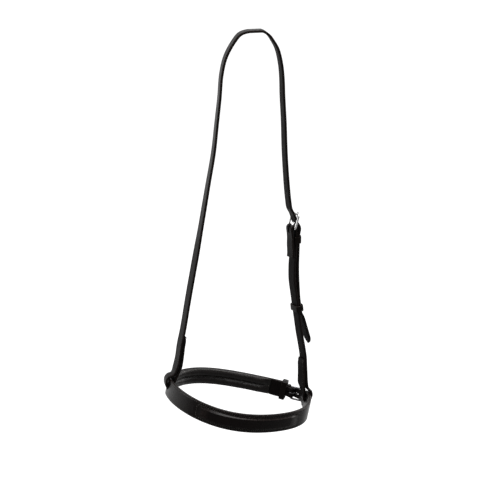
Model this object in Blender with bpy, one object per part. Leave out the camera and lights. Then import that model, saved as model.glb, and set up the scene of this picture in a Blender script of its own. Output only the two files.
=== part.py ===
"""Bridle noseband: a raised padded nosepiece and a padded jaw strap on a narrow headstrap.

Metres, +Z up, +X to the right of the photograph, -Y towards its viewer. The origin is under the
crown of the headstrap, where the strap rests on the poll.
"""
import bpy
import bmesh
import math
from mathutils import Vector

MM = 0.001

# gaps and leather
FIT_GAP = 0.3 * MM
ROCK_GAP = 1.0 * MM
SLIDE_GAP = 0.6 * MM
STRAP_WIDTH = 15.0 * MM
STRAP_THICK = 3.5 * MM
STRAP_EDGE = 0.7 * MM
TIP_LENGTH = 13.0 * MM
BAND_HEIGHT = 27.5 * MM
FRONT_THICK = 2.6 * MM
LINING_THICK = 1.2 * MM
KEEPER_THICK = 1.4 * MM
RUNNER_THICK = 1.9 * MM

# the ring that the two halves of the noseband make
RING_DROP = 537.0 * MM
RING_SHIFT = -25.5 * MM
RING_HALF_WIDTH = 105.5 * MM
RING_FRONT = 109.0 * MM
RING_BACK = 59.0 * MM
RING_ROLL = math.radians(11.5)
FRONT_SKEW_SHARE = 0.14
BACK_SKEW_SHARE = 0.30
SLOT_HALF_LENGTH = 9.75 * MM
SLOT_HALF_HEIGHT = 3.75 * MM

# nosepiece
RAISED_HALF_LENGTH = 84.0 * MM
RAISED_HEIGHT = 2.9 * MM
RAISED_MARGIN = 5.0 * MM
RAISED_SHOULDER = 2.6 * MM
NOSE_PAD_DEPTH = 3.0 * MM
NOSE_PAD_MARGIN = 2.0 * MM
OFF_SIDE_LAP = 30.0 * MM

# jaw strap, places counted back along the ring from the near-side slot
BILLET_WIDTH = 15.0 * MM
BILLET_LENGTH = 98.0 * MM
JAW_WIDTH = 25.0 * MM
JAW_THICK = 2.6 * MM
JAW_START = 13.5 * MM
TOE_PLACE = 14.5 * MM
HEEL_PLACE = 30.7 * MM
JAW_KEEPER_PLACE = 37.5 * MM
JAW_KEEPER_WIDTH = 4.2 * MM
JAW_RUNNER_PLACE = 44.5 * MM
JAW_RUNNER_WIDTH = 8.0 * MM
JAW_TURNBACK_PLACE = 65.0 * MM
JAW_TURNBACK_RISE = 4.8 * MM
JAW_TURNBACK_LEAD = 0.8 * MM
NECK_START = 2.0 * MM
NECK_LEAD = 2.4 * MM
ROLL_DEPTH = 4.2 * MM
ROLL_CHANNEL = 1.0 * MM
ROLL_MARGIN = 0.8 * MM
PAD_RAMP = 13.0 * MM
PAD_END_GAP = 6.0 * MM
PAD_INSET = 0.9 * MM
PAD_EDGE_THICK = 0.2 * MM
LINING_INSET = 0.3 * MM
JAW_LINING_INSET = 0.2 * MM
JAW_LINING_EASE = 0.4 * MM
ROLL_START_GAP = 1.5 * MM
ROLL_END_GAP = 2.0 * MM

# loops through the slots
LOOP_RADIUS = 5.45 * MM
LOOP_LEAN = 0.45 * MM
NEAR_TURNBACK = 40.0 * MM
OFF_TURNBACK = 52.0 * MM
CROWN_FLAT = 9.0 * MM

# hardware
BAR_RADIUS = 1.5 * MM
JAW_BAR_RADIUS = 1.4 * MM
TONGUE_RADIUS = 1.1 * MM
EYE_GAP = 0.25 * MM
FRAME_REACH = 21.7 * MM
FRAME_CORNER = 3.2 * MM
FRAME_SIDE_GAP = 0.6 * MM
FRAME_LEAN = math.radians(19.0)
TONGUE_RISE = math.radians(50.0)
TONGUE_SLOT_HALF = 1.9 * MM
HOLE_HALF_LENGTH = 3.1 * MM
HOLE_HALF_WIDTH = 1.6 * MM
HOLE_PITCH = 25.0 * MM
JAW_HOLE_PITCH = 18.0 * MM

# headstrap keepers, heights counted down from the buckle's heel bar
KEEPER_DROP = 17.5 * MM
KEEPER_WIDTH = 10.0 * MM
KEEPER_DOME = 3.2 * MM
HEEL_CLEARANCE = 2.6 * MM
RUNNER_DROP = 123.7 * MM
RUNNER_WIDTH = 9.5 * MM
CHAPE_TURNBACK = 44.5 * MM
TURN_ANGLE = math.radians(22.0)

SAMPLE_STEP = 0.5 * MM
LONG_STEP = 15.0 * MM
RING_STEP = 9.0 * MM
BEND_STEP = math.radians(11.0)
CUT_DEPTH = 14.0 * MM

# places along the straps as shares of the way down to the loops, across and down
OFF_LEG_SHARES = (
    (0.176, 0.0035), (0.247, 0.0225), (0.349, 0.0667), (0.399, 0.1163), (0.424, 0.1837),
    (0.458, 0.2552), (0.499, 0.3409), (0.569, 0.4368), (0.672, 0.5797), (0.820, 0.7736),
    (0.895, 0.8777), (0.935, 0.9226), (0.966, 0.9700),
)
NEAR_LEG_SHARES = (
    (0.243, 0.0075), (0.332, 0.0251), (0.413, 0.0472), (0.478, 0.0868), (0.505, 0.1245),
    (0.517, 0.1698), (0.545, 0.2396), (0.569, 0.3283), (0.612, 0.4170), (0.646, 0.4642),
)
CHEEK_SHARES = (
    (0.757, 0.5392), (0.764, 0.5736), (0.748, 0.6132), (0.732, 0.6509), (0.736, 0.6906),
    (0.768, 0.7264), (0.805, 0.7642), (0.842, 0.8019), (0.889, 0.8491), (0.933, 0.8849),
    (0.967, 0.9170), (0.982, 0.9547),
)
HEEL_SHARE = 0.5392
# how far a strap stands off the band beside its slot: shares of the loop's radius and of the band
NEAR_FLARE_SHARES = ((-1.30, 1.00), (-0.85, 0.86), (-0.18, 0.71), (0.72, 0.59), (1.16, 0.415))
OFF_FLARE_SHARES = ((-0.77, 1.02), (-0.62, 0.855), (-0.26, 0.70), (0.68, 0.585), (1.20, 0.415))
LOOP_INSIDE_SHARE = (-1.00, 0.51)
# the turned-back end: shares of its height and of the layer that it lies on
CLIMB_SHARES = ((0.04, 1.45), (0.22, 1.28), (0.45, 1.12), (0.72, 1.04), (1.0, 1.0))
# turn of the straps, height as a share of the ring's drop and share of the full turn
NEAR_TURN_SHARES = (
    (0.00, 0.0), (0.05, 0.22), (0.20, 0.36), (0.33, 0.45), (0.45, 0.56), (0.52, 0.72), (0.60, 1.0),
    (0.80, 1.0), (0.92, 0.98), (0.99, 0.75), (1.016, 0.0),
)
OFF_TURN_SHARES = (
    (0.15, 0.0), (0.34, 0.12), (0.50, 0.32), (0.60, 0.64), (0.900, 0.64), (0.936, 0.0),
)
# the billet's tail: share of the drop below the runner and shares of the strap's thickness
TAIL_SHARES = ((0.029, 0.80), (0.063, 1.70), (0.113, 2.75))
BILLET_BULGE_SHARE = 0.60
RUNNER_BULGE_SHARE = 0.28
TIP_SHARES = ((1.0, 1.0), (0.72, 0.93), (0.46, 0.76), (0.24, 0.54), (0.09, 0.33), (0.0, 0.16))

FLAT_NORMAL = Vector((0.0, 1.0, 0.0))
ROLL_ALONG = Vector((math.cos(RING_ROLL), 0.0, -math.sin(RING_ROLL)))
ROLL_UP = Vector((math.sin(RING_ROLL), 0.0, math.cos(RING_ROLL)))
RING_CENTRE = Vector((RING_SHIFT, 0.0, -RING_DROP))


def clear_scene():
    for thing in list(bpy.data.objects):
        bpy.data.objects.remove(thing, do_unlink=True)


def material(name, colour, rough, metal=0.0):
    made = bpy.data.materials.new(name)
    made.use_nodes = True
    shader = made.node_tree.nodes["Principled BSDF"]
    shader.inputs["Base Color"].default_value = (*colour, 1.0)
    shader.inputs["Roughness"].default_value = rough
    shader.inputs["Metallic"].default_value = metal
    return made


def finish(name, bm, look, origin=None, sharp=40.0):
    """Turn a bmesh in world places into one named object with its origin where it turns."""
    origin = origin or Vector((0.0, 0.0, 0.0))
    bmesh.ops.recalc_face_normals(bm, faces=bm.faces)
    bmesh.ops.translate(bm, verts=bm.verts, vec=-origin)
    mesh = bpy.data.meshes.new(name)
    bm.to_mesh(mesh)
    bm.free()
    mesh.shade_smooth()
    mesh.set_sharp_from_angle(angle=math.radians(sharp))
    made = bpy.data.objects.new(name, mesh)
    made.location = origin
    made.data.materials.append(look)
    bpy.context.collection.objects.link(made)
    return made


def loft(rings, closed=False):
    """A solid through the given sections, capped at both ends unless it closes on itself."""
    bm = bmesh.new()
    rows = [[bm.verts.new(point) for point in ring] for ring in rings]
    count = len(rows[0])
    pairs = list(zip(rows, rows[1:]))
    if closed:
        pairs.append((rows[-1], rows[0]))
    for lower, upper in pairs:
        for i in range(count):
            j = (i + 1) % count
            bm.faces.new((lower[i], lower[j], upper[j], upper[i]))
    if not closed:
        bm.faces.new(rows[0])
        bm.faces.new(rows[-1])
    return bm


def between(low, high, value):
    """Smooth step from 0 at low to 1 at high."""
    share = min(1.0, max(0.0, (value - low) / (high - low)))
    return share * share * (3.0 - 2.0 * share)


def smooth_path(points, before=None, after=None):
    """A smooth curve through the points, sampled closely."""
    chain = [Vector(point) for point in points]
    first = Vector(before) if before else chain[0] * 2.0 - chain[1]
    last = Vector(after) if after else chain[-1] * 2.0 - chain[-2]
    chain = [first] + chain + [last]
    out = []
    for p0, p1, p2, p3 in zip(chain, chain[1:], chain[2:], chain[3:]):
        k0 = math.sqrt((p1 - p0).length)
        k1 = math.sqrt((p2 - p1).length)
        k2 = math.sqrt((p3 - p2).length)
        m1 = p2 - p1 + ((p1 - p0) / k0 - (p2 - p0) / (k0 + k1)) * k1
        m2 = p2 - p1 + ((p3 - p2) / k2 - (p3 - p1) / (k1 + k2)) * k1
        count = max(2, math.ceil((p2 - p1).length / SAMPLE_STEP))
        for i in range(count):
            u = i / count
            out.append(
                p1 * (2 * u**3 - 3 * u**2 + 1)
                + m1 * (u**3 - 2 * u**2 + u)
                + p2 * (3 * u**2 - 2 * u**3)
                + m2 * (u**3 - u**2)
            )
    out.append(chain[-2])
    return out


def lengths(points):
    """How far along the path each of its points is."""
    out = [0.0]
    for a, b in zip(points, points[1:]):
        out.append(out[-1] + (b - a).length)
    return out


def tangent_at(points, i):
    a = points[max(0, i - 1)]
    b = points[min(len(points) - 1, i + 1)]
    return (b - a).normalized()


def pick_stations(points, kept, long_step=LONG_STEP):
    """Indexes of the path's points that become sections: close in the bends, far apart elsewhere."""
    chosen = [0]
    run = 0.0
    bend = 0.0
    for i in range(1, len(points) - 1):
        run += (points[i] - points[i - 1]).length
        bend += tangent_at(points, i).angle(tangent_at(points, i - 1), 0.0)
        if run >= long_step or bend >= BEND_STEP or i in kept:
            chosen.append(i)
            run = 0.0
            bend = 0.0
    chosen.append(len(points) - 1)
    return chosen


def nearest_index(values, value):
    return min(range(len(values)), key=lambda i: abs(values[i] - value))


def strap_section(half_width, thick):
    """Outline of a strap with its edges eased: across the strap and through its thickness."""
    w = half_width
    h = thick / 2.0
    e = min(STRAP_EDGE, 0.45 * w)
    f = min(STRAP_EDGE, 0.30 * thick)
    return (
        (-w, -h + f), (-w + e, -h), (w - e, -h), (w, -h + f),
        (w, h - f), (w - e, h), (-w + e, h), (-w, h - f),
    )


def strap(name, points, half_widths, thick, across, look, tip=False, long_step=LONG_STEP,
          flat_ends=()):
    """Sweep a strap along the points, its width along the direction that across() gives."""
    along = lengths(points)
    total = along[-1]
    kept = set(flat_ends)
    if tip:
        kept |= {nearest_index(along, total - share * TIP_LENGTH) for share, _ in TIP_SHARES}
    since = half_widths[0]
    for i in range(1, len(points)):
        if (half_widths[i] == since) != (half_widths[i - 1] == since) or (
                abs(half_widths[i] - since) > STRAP_EDGE):
            kept.add(i - 1)
            since = half_widths[i]
    rings = []
    for i in pick_stations(points, kept, long_step):
        half = half_widths[i]
        if tip and total - along[i] < TIP_LENGTH:
            half *= tip_width((total - along[i]) / TIP_LENGTH)
        wide = across(points[i])
        through = wide.cross(tangent_at(points, i)).normalized()
        rings.append([points[i] + wide * w + through * n for w, n in strap_section(half, thick)])
    return finish(name, loft(rings), look)


def tip_width(share):
    """Width of a pointed end as a share of the strap's, by the way left to the point."""
    for (far, wide), (near, slim) in zip(TIP_SHARES, TIP_SHARES[1:]):
        if share >= near:
            return slim + (wide - slim) * (share - near) / (far - near)
    return TIP_SHARES[-1][1]


def turn_at(point):
    """How far the straps on this side are turned at this height."""
    share = -point.z / RING_DROP
    shares = NEAR_TURN_SHARES if point.x > 0.0 else OFF_TURN_SHARES
    for (low, a), (high, b) in zip(shares, shares[1:]):
        if share < high:
            return TURN_ANGLE * (a + (b - a) * between(low, high, share))
    return 0.0


def head_across(point):
    turn = turn_at(point)
    return Vector((-math.sin(turn), math.cos(turn), 0.0))


def ring_across(point):
    return ROLL_UP


def beside(path, height, distance):
    """The point at this height on a layer that lies beside the path, towards +X if positive."""
    i = min(range(len(path)), key=lambda k: abs(path[k].z - height))
    normal = head_across(path[i]).cross(tangent_at(path, i)).normalized()
    if normal.x < 0.0:
        normal = -normal
    return path[i] + normal * distance


class Ring:
    """The oval that the noseband's layers are laid on, measured from the near-side slot."""

    def __init__(self):
        low = -math.pi
        high = math.pi * 1.25
        count = 1800
        self.angles = [low + (high - low) * i / count for i in range(count + 1)]
        points = [self.flat(angle) for angle in self.angles]
        run = lengths(points)
        zero = nearest_index(self.angles, 0.0)
        self.run = [value - run[zero] for value in run]
        self.front = self.run[nearest_index(self.angles, math.pi)]
        self.back = -self.run[0]

    def depth(self, angle):
        return RING_FRONT if 0.0 <= angle <= math.pi else RING_BACK

    def skew(self, angle):
        return FRONT_SKEW_SHARE if 0.0 <= angle <= math.pi else BACK_SKEW_SHARE

    def flat(self, angle):
        s = math.sin(angle)
        c = math.cos(angle)
        return Vector((
            RING_HALF_WIDTH * c, -self.depth(angle) * (s - self.skew(angle) * c * s**3), 0.0))

    def way(self, angle):
        """How the flat point moves as the angle grows."""
        s = math.sin(angle)
        c = math.cos(angle)
        bend = self.skew(angle) * (3.0 * s * s * c * c - s**4)
        return Vector((-RING_HALF_WIDTH * s, -self.depth(angle) * (c - bend), 0.0))

    def angle_at(self, place):
        i = nearest_index(self.run, place)
        j = i + 1 if place > self.run[i] else i - 1
        j = min(len(self.run) - 1, max(0, j))
        if i == j:
            return self.angles[i]
        share = (place - self.run[i]) / (self.run[j] - self.run[i])
        return self.angles[i] + share * (self.angles[j] - self.angles[i])

    def radius_at(self, place):
        angle = self.angle_at(place)
        s = math.sin(angle)
        c = math.cos(angle)
        way = self.way(angle)
        turn_x = -RING_HALF_WIDTH * c
        turn_y = self.depth(angle) * (s + self.skew(angle) * (6.0 * s * c**3 - 10.0 * s**3 * c))
        return way.length**3 / max(abs(way.x * turn_y - way.y * turn_x), MM * MM)

    def out_at(self, place):
        way = self.way(self.angle_at(place)).normalized()
        return ROLL_ALONG * -way.y + FLAT_NORMAL * way.x

    def along_at(self, place):
        """Direction in which the places grow."""
        return ROLL_UP.cross(self.out_at(place)) * -1.0

    def place(self, place, out, up=0.0):
        flat = self.flat(self.angle_at(place))
        point = RING_CENTRE + ROLL_ALONG * flat.x + FLAT_NORMAL * flat.y
        return point + self.out_at(place) * out + ROLL_UP * up

    def steps(self, start, end, ramps=()):
        """Places for sections, closer where the oval bends more and where a pad swells."""
        out = [start]
        while True:
            step = min(RING_STEP, 0.12 * self.radius_at(out[-1]))
            if any(low - step < out[-1] < high for low, high in ramps):
                step = min(step, 0.34 * PAD_RAMP)
            if out[-1] + 1.3 * step >= end:
                break
            out.append(out[-1] + step)
        out.append(end)
        return out


RING = Ring()


def within(places, low, high):
    return [place for place in places if low <= place <= high]


def band(name, places, section, look):
    """Loft sections of (up, out) points laid on the ring at the given places."""
    rings = [[RING.place(s, out, up) for up, out in section(s)] for s in places]
    return finish(name, loft(rings), look)


def oval_cutter(name, holes):
    """Round-ended prisms: each is centre, axis, direction of length, half length, half width."""
    bm = bmesh.new()
    for centre, axis, along, half_length, half_width in holes:
        side = axis.cross(along).normalized()
        reach = half_length - half_width
        ends = []
        for offset in (-CUT_DEPTH, CUT_DEPTH):
            row = []
            for k in range(12):
                angle = -math.pi / 2.0 + math.pi * (k % 6) / 5.0 + (math.pi if k >= 6 else 0.0)
                shift = reach if k < 6 else -reach
                spot = along * (shift + half_width * math.cos(angle)) + side * (
                    half_width * math.sin(angle))
                row.append(bm.verts.new(centre + axis * offset + spot))
            ends.append(row)
        for i in range(12):
            j = (i + 1) % 12
            bm.faces.new((ends[0][i], ends[0][j], ends[1][j], ends[1][i]))
        bm.faces.new(ends[0])
        bm.faces.new(ends[1])
    made = finish(name, bm, LOOKS["cutter"])
    made.hide_render = True
    made.display_type = "WIRE"
    return made


def cut(target, cutter):
    change = target.modifiers.new(cutter.name, "BOOLEAN")
    change.operation = "DIFFERENCE"
    change.solver = "EXACT"
    change.object = cutter


def rounded_loop(half, low, high, corner, per_corner=4, dome=0.0):
    """Closed outline (across, out, normal across, normal out) of a rounded rectangle."""
    corner = min(corner, 0.48 * (high - low), 0.48 * half)
    out = []
    for cx, cy, start in (
        (half - corner, high - corner, 0.0), (-half + corner, high - corner, 0.5),
        (-half + corner, low + corner, 1.0), (half - corner, low + corner, 1.5),
    ):
        for k in range(per_corner + 1):
            angle = math.pi * (start + 0.5 * k / per_corner)
            nx = math.cos(angle)
            ny = math.sin(angle)
            out.append((cx + corner * nx, cy + corner * ny, nx, ny))
        if start == 0.0:
            for share in (0.6, 0.2, -0.2, -0.6):
                bulge = dome * (1.0 - share * share)
                out.append(((half - corner) * share, high + bulge, 0.0, 1.0))
    return out


def wire_loop(name, centre, across, out, outline, section, look, origin=None):
    """Sweep a section round a closed outline; section points are (outward, through the plane)."""
    deep = across.cross(out).normalized()
    rings = []
    for x, y, nx, ny in outline:
        spot = centre + across * x + out * y
        normal = across * nx + out * ny
        rings.append([spot + normal * n + deep * d for n, d in section])
    return finish(name, loft(rings, closed=True), look, origin)


def round_section(radius, count):
    return [
        (radius * math.cos(2.0 * math.pi * k / count), radius * math.sin(2.0 * math.pi * k / count))
        for k in range(count)
    ]


def leather_section(thick, width):
    ease = 0.28 * thick
    h = thick / 2.0
    w = width / 2.0
    return [
        (-h, -w + ease), (-h + ease, -w), (h - ease, -w), (h, -w + ease),
        (h, w - ease), (h - ease, w), (-h + ease, w), (-h, w - ease),
    ]


class Buckle:
    """A single-bar buckle: its heel bar, which way the toe lies, which way is out, and its width."""

    def __init__(self, heel, toe, out, across, bar, strap_half):
        self.heel = heel
        self.toe = toe
        self.across = across
        self.bar = bar
        self.out = out
        self.ahead = across.cross(out).normalized()
        if self.ahead.dot(toe - heel) < 0.0:
            self.ahead = -self.ahead
        self.reach = (toe - heel).length
        self.plane = (toe - heel).normalized()
        self.half = strap_half + FRAME_SIDE_GAP + bar

    def spot(self, ahead, out):
        return self.heel + self.ahead * ahead + self.out * out

    def frame(self, name):
        outline = rounded_loop(self.half, 0.0, self.reach, FRAME_CORNER, 5)
        return wire_loop(
            name, self.heel, self.across, self.plane, outline, round_section(self.bar, 10),
            LOOKS[name], self.heel)

    def shaft(self, way):
        """Place on the straight part of the tongue, this far from where it leaves the bar."""
        radius = self.bar + EYE_GAP + TONGUE_RADIUS
        leave = TONGUE_RISE - math.pi / 2.0
        return self.spot(
            radius * math.cos(leave) + way * math.cos(TONGUE_RISE),
            radius * math.sin(leave) + way * math.sin(TONGUE_RISE))

    def tongue(self, name, billet_top):
        radius = self.bar + EYE_GAP + TONGUE_RADIUS
        leave = TONGUE_RISE - math.pi / 2.0
        eye = []
        for k in range(11):
            angle = leave - math.radians(250.0) * (1.0 - k / 10.0)
            eye.append(self.spot(radius * math.cos(angle), radius * math.sin(angle)))
        normal = self.plane.cross(self.across).normalized()
        if normal.dot(self.out) < 0.0:
            normal = -normal
        over = self.bar + ROCK_GAP + TONGUE_RADIUS
        above_toe = self.toe + normal * over
        end = self.toe + normal * (over * 0.97) + self.plane * (2.6 * self.bar)
        rise = self.shaft(billet_top)
        middle = rise.lerp(above_toe, 0.42) + normal * (0.12 * over)
        path = smooth_path(eye + [rise, middle, above_toe, end])
        along = lengths(path)
        rings = []
        for i in pick_stations(path, set()):
            left = along[-1] - along[i]
            size = TONGUE_RADIUS * (1.0 if left > 1.2 * TONGUE_RADIUS else 0.62)
            through = self.across.cross(tangent_at(path, i)).normalized()
            rings.append([
                path[i] + self.across * (a * size) + through * (b * size)
                for a, b in round_section(1.0, 8)
            ])
        return finish(name, loft(rings), LOOKS[name], self.heel)

    def tongue_slot(self, name):
        centre = self.heel + self.ahead * (0.5 * self.bar)
        length = self.bar + EYE_GAP + 2.0 * TONGUE_RADIUS + STRAP_THICK
        return oval_cutter(name, [(centre, self.out, self.ahead, length, TONGUE_SLOT_HALF)])

    def crossing(self, path):
        """Index of the path's point that the tongue's straight part goes through."""
        base = self.shaft(0.0)
        ray = (self.shaft(STRAP_WIDTH) - base).normalized()
        ahead = [i for i, p in enumerate(path) if abs((p - base).dot(self.across)) < STRAP_WIDTH]

        def off(i):
            gap = path[i] - base
            gap = gap - self.across * gap.dot(self.across)
            way = gap.dot(ray)
            return (gap - ray * way).length if way > 0.0 else STRAP_WIDTH

        return min(ahead, key=off)


def hole_row(path, index, pitch, numbers, across):
    """Oval holes along a billet, spaced from the one that the tongue uses."""
    along = lengths(path)
    holes = []
    for number in numbers:
        i = nearest_index(along, along[index] + number * pitch)
        tangent = tangent_at(path, i)
        axis = across(path[i]).cross(tangent).normalized()
        holes.append((path[i], axis, tangent, HOLE_HALF_LENGTH, HOLE_HALF_WIDTH))
    return holes


LEATHER = (0.020, 0.017, 0.015)
SOFT_LEATHER = (0.026, 0.023, 0.021)
LOOKS = {
    "cutter": material("cutter", (0.5, 0.5, 0.5), 0.5),
    "headstrap": material("headstrap_leather", LEATHER, 0.42),
    "cheek_strap": material("cheek_strap_leather", LEATHER, 0.42),
    "headstrap_fixed_keeper": material("fixed_keeper_leather", LEATHER, 0.38),
    "headstrap_runner": material("runner_leather", LEATHER, 0.38),
    "headstrap_buckle_frame": material("headstrap_buckle_steel", (0.78, 0.78, 0.76), 0.18, 1.0),
    "headstrap_buckle_tongue": material("headstrap_tongue_steel", (0.78, 0.78, 0.76), 0.2, 1.0),
    "nosepiece_front": material("nosepiece_leather", LEATHER, 0.36),
    "nosepiece_filler": material("nosepiece_core", (0.20, 0.13, 0.08), 0.8),
    "nosepiece_padding": material("nosepiece_foam", (0.10, 0.10, 0.10), 0.95),
    "nosepiece_lining": material("nosepiece_lining_leather", SOFT_LEATHER, 0.55),
    "jaw_strap": material("jaw_strap_leather", LEATHER, 0.40),
    "jaw_padding_upper": material("jaw_upper_foam", (0.10, 0.10, 0.10), 0.95),
    "jaw_padding_lower": material("jaw_lower_foam", (0.10, 0.10, 0.10), 0.95),
    "jaw_lining": material("jaw_lining_leather", SOFT_LEATHER, 0.55),
    "jaw_fixed_keeper": material("jaw_keeper_leather", LEATHER, 0.38),
    "jaw_runner": material("jaw_runner_leather", LEATHER, 0.38),
    "jaw_buckle_frame": material("jaw_buckle_steel", (0.78, 0.78, 0.76), 0.18, 1.0),
    "jaw_buckle_tongue": material("jaw_tongue_steel", (0.78, 0.78, 0.76), 0.2, 1.0),
}


def loop_frame(side):
    """The slot's place and the directions out of the ring and up the band, on this side."""
    slot = RING_CENTRE + ROLL_ALONG * (side * RING_HALF_WIDTH)
    return slot, ROLL_ALONG * side, ROLL_UP


def flare(side, shares):
    slot, out, up = loop_frame(side)
    return [slot + out * (o * LOOP_RADIUS) + up * (h * BAND_HEIGHT) for o, h in shares]


def loop_arc(side):
    """The strap's turn through the slot, from the outside of the band to its inside."""
    slot, out, up = loop_frame(side)
    points = []
    for k in range(7):
        angle = -math.pi * k / 6.0
        o = LOOP_LEAN + LOOP_RADIUS * math.cos(angle)
        h = LOOP_RADIUS + LOOP_RADIUS * math.sin(angle)
        points.append(slot + out * o + up * h)
    return points


def leg(foot, shares):
    return [Vector((foot.x * across, 0.0, foot.z * down)) for across, down in shares]


def inside_climb(side, spine, top, layer):
    """The turned-back end: from the slot up the inside of the cheek to the height top."""
    slot, out, up = loop_frame(side)
    start = spine[-1].z
    o, h = LOOP_INSIDE_SHARE
    points = [slot + out * (o * LOOP_RADIUS) + up * (h * BAND_HEIGHT)]
    for share, stand in CLIMB_SHARES:
        points.append(beside(spine, start + (top - start) * share, layer * stand))
    return points


LAYER = STRAP_THICK + FIT_GAP


def headstrap_and_cheek():
    half = STRAP_WIDTH / 2.0
    crown_z = STRAP_THICK / 2.0
    near_flare = flare(1.0, NEAR_FLARE_SHARES)
    off_flare = flare(-1.0, OFF_FLARE_SHARES)
    near_foot = near_flare[0]
    off_foot = off_flare[0]

    # the near-side cheek strap, whose middle line the billet and the turnbacks lie beside
    cheek = leg(near_foot, CHEEK_SHARES)
    spine = smooth_path(cheek + [near_foot], after=near_flare[1])
    heel_z = near_foot.z * HEEL_SHARE
    fold = BAR_RADIUS + FIT_GAP + STRAP_THICK / 2.0
    heel = beside(spine, heel_z, -fold)
    across = head_across(spine[0])
    out = (beside(spine, heel_z, fold) - heel).normalized()
    ahead = across.cross(out).normalized()
    if ahead.z < 0.0:
        ahead = -ahead
    toe = heel + ahead * (FRAME_REACH * math.cos(FRAME_LEAN)) + out * (
        FRAME_REACH * math.sin(FRAME_LEAN))
    buckle = Buckle(heel, toe, out, across, BAR_RADIUS, half)

    keeper_layer = STRAP_THICK + KEEPER_THICK + 3.4 * FIT_GAP
    keeper_low = heel_z - KEEPER_DROP - KEEPER_WIDTH / 2.0
    keeper_high = heel_z - KEEPER_DROP + KEEPER_WIDTH / 2.0
    chape = [
        beside(spine, heel_z - CHAPE_TURNBACK, -LAYER - FIT_GAP),
        beside(spine, (heel_z - CHAPE_TURNBACK) * 0.75 + keeper_low * 0.25, -LAYER * 1.06),
        beside(spine, keeper_low - KEEPER_WIDTH * 0.3, -keeper_layer),
        beside(spine, keeper_low, -keeper_layer * 1.03),
        beside(spine, keeper_high, -keeper_layer * 1.05),
    ]
    for k in range(7):
        angle = math.pi * (1.0 - k / 6.0)
        chape.append(heel + out * (fold * math.cos(angle)) + ahead * (fold * math.sin(angle)))
    climb = inside_climb(1.0, spine, near_foot.z + NEAR_TURNBACK, -LAYER)
    path = smooth_path(chape + cheek[1:] + near_flare + loop_arc(1.0) + climb)
    cheek_strap = strap(
        "cheek_strap", path, [half] * len(path), STRAP_THICK, head_across, LOOKS["cheek_strap"])
    cut(cheek_strap, buckle.tongue_slot("cheek_tongue_cutter"))

    # the headstrap: off-side turnback, loop and leg, crown, near-side leg and billet
    off_leg = leg(off_foot, OFF_LEG_SHARES)
    left_end = Vector((-CROWN_FLAT, 0.0, crown_z))
    right_end = Vector((CROWN_FLAT, 0.0, crown_z))
    off_spine = smooth_path([left_end] + off_leg + [off_foot], before=right_end, after=off_flare[1])
    off_climb = inside_climb(-1.0, off_spine, off_foot.z + OFF_TURNBACK, LAYER)
    off_path = smooth_path(
        [left_end] + off_leg + off_flare + loop_arc(-1.0) + off_climb, before=right_end)

    toe_ahead = (toe - heel).dot(ahead)
    toe_out = (toe - heel).dot(out)
    under_toe = toe_out - (BAR_RADIUS + ROCK_GAP + STRAP_THICK / 2.0) / math.cos(FRAME_LEAN)
    over_heel = fold + LAYER + HEEL_CLEARANCE
    before_toe = under_toe - (over_heel - under_toe) * 0.72
    runner_z = heel_z - RUNNER_DROP
    billet = [
        buckle.spot(toe_ahead * 1.50, before_toe), buckle.spot(toe_ahead, under_toe),
        buckle.spot(toe_ahead * 0.5, (under_toe + over_heel) * 0.5 + FIT_GAP * 2.0),
        buckle.spot(0.0, over_heel), beside(spine, keeper_high, LAYER),
        beside(spine, keeper_low, LAYER),
        beside(spine, heel_z * 0.5 + runner_z * 0.5, LAYER + BILLET_BULGE_SHARE * STRAP_THICK),
        beside(spine, runner_z + RUNNER_WIDTH * 2.8, LAYER + RUNNER_BULGE_SHARE * STRAP_THICK),
        beside(spine, runner_z + RUNNER_WIDTH * 1.3, LAYER), beside(spine, runner_z, LAYER),
        beside(spine, runner_z - RUNNER_WIDTH * 0.8, LAYER),
    ]
    for down, stand in TAIL_SHARES:
        billet.append(beside(spine, runner_z - RING_DROP * down, LAYER + stand * STRAP_THICK))
    near_path = smooth_path(
        [right_end] + leg(near_foot, NEAR_LEG_SHARES) + billet, before=left_end)
    path = list(reversed(off_path)) + near_path
    headstrap = strap(
        "headstrap", path, [half] * len(path), STRAP_THICK, head_across, LOOKS["headstrap"],
        tip=True, flat_ends=(len(off_path) - 1, len(off_path)))
    used = buckle.crossing(path)
    cut(headstrap, oval_cutter(
        "headstrap_hole_cutter",
        hole_row(path, used, HOLE_PITCH, (-2, -1, 0, 1, 2, 3, 4, 5), head_across)))

    buckle.frame("headstrap_buckle_frame")
    buckle.tongue("headstrap_buckle_tongue", 4.4 * STRAP_THICK)

    # the sewn keeper goes round the cheek strap and the billet
    middle = beside(spine, heel_z - KEEPER_DROP, 0.0)
    side = head_across(middle)
    face = (beside(spine, heel_z - KEEPER_DROP, LAYER) - middle).normalized()
    room = STRAP_THICK / 2.0 + FIT_GAP * 1.6 + KEEPER_THICK / 2.0
    outline = rounded_loop(half + FIT_GAP * 1.5 + KEEPER_THICK / 2.0, -room, LAYER + room,
                           1.3 * KEEPER_THICK, 3, KEEPER_DOME)
    wire_loop("headstrap_fixed_keeper", middle, side, face, outline,
              leather_section(KEEPER_THICK, KEEPER_WIDTH), LOOKS["headstrap_fixed_keeper"])

    # the runner goes round the same two layers and slides on them
    middle = beside(spine, runner_z, 0.0)
    side = head_across(middle)
    face = (beside(spine, runner_z, LAYER) - middle).normalized()
    room = STRAP_THICK / 2.0 + SLIDE_GAP + RUNNER_THICK / 2.0
    outline = rounded_loop(half + SLIDE_GAP + RUNNER_THICK / 2.0, -room, LAYER + room,
                           1.3 * RUNNER_THICK, 3, 0.3 * KEEPER_DOME)
    wire_loop("headstrap_runner", middle, side, face, outline,
              leather_section(RUNNER_THICK, RUNNER_WIDTH), LOOKS["headstrap_runner"], middle)
    return buckle, middle, face.cross(side)


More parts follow.
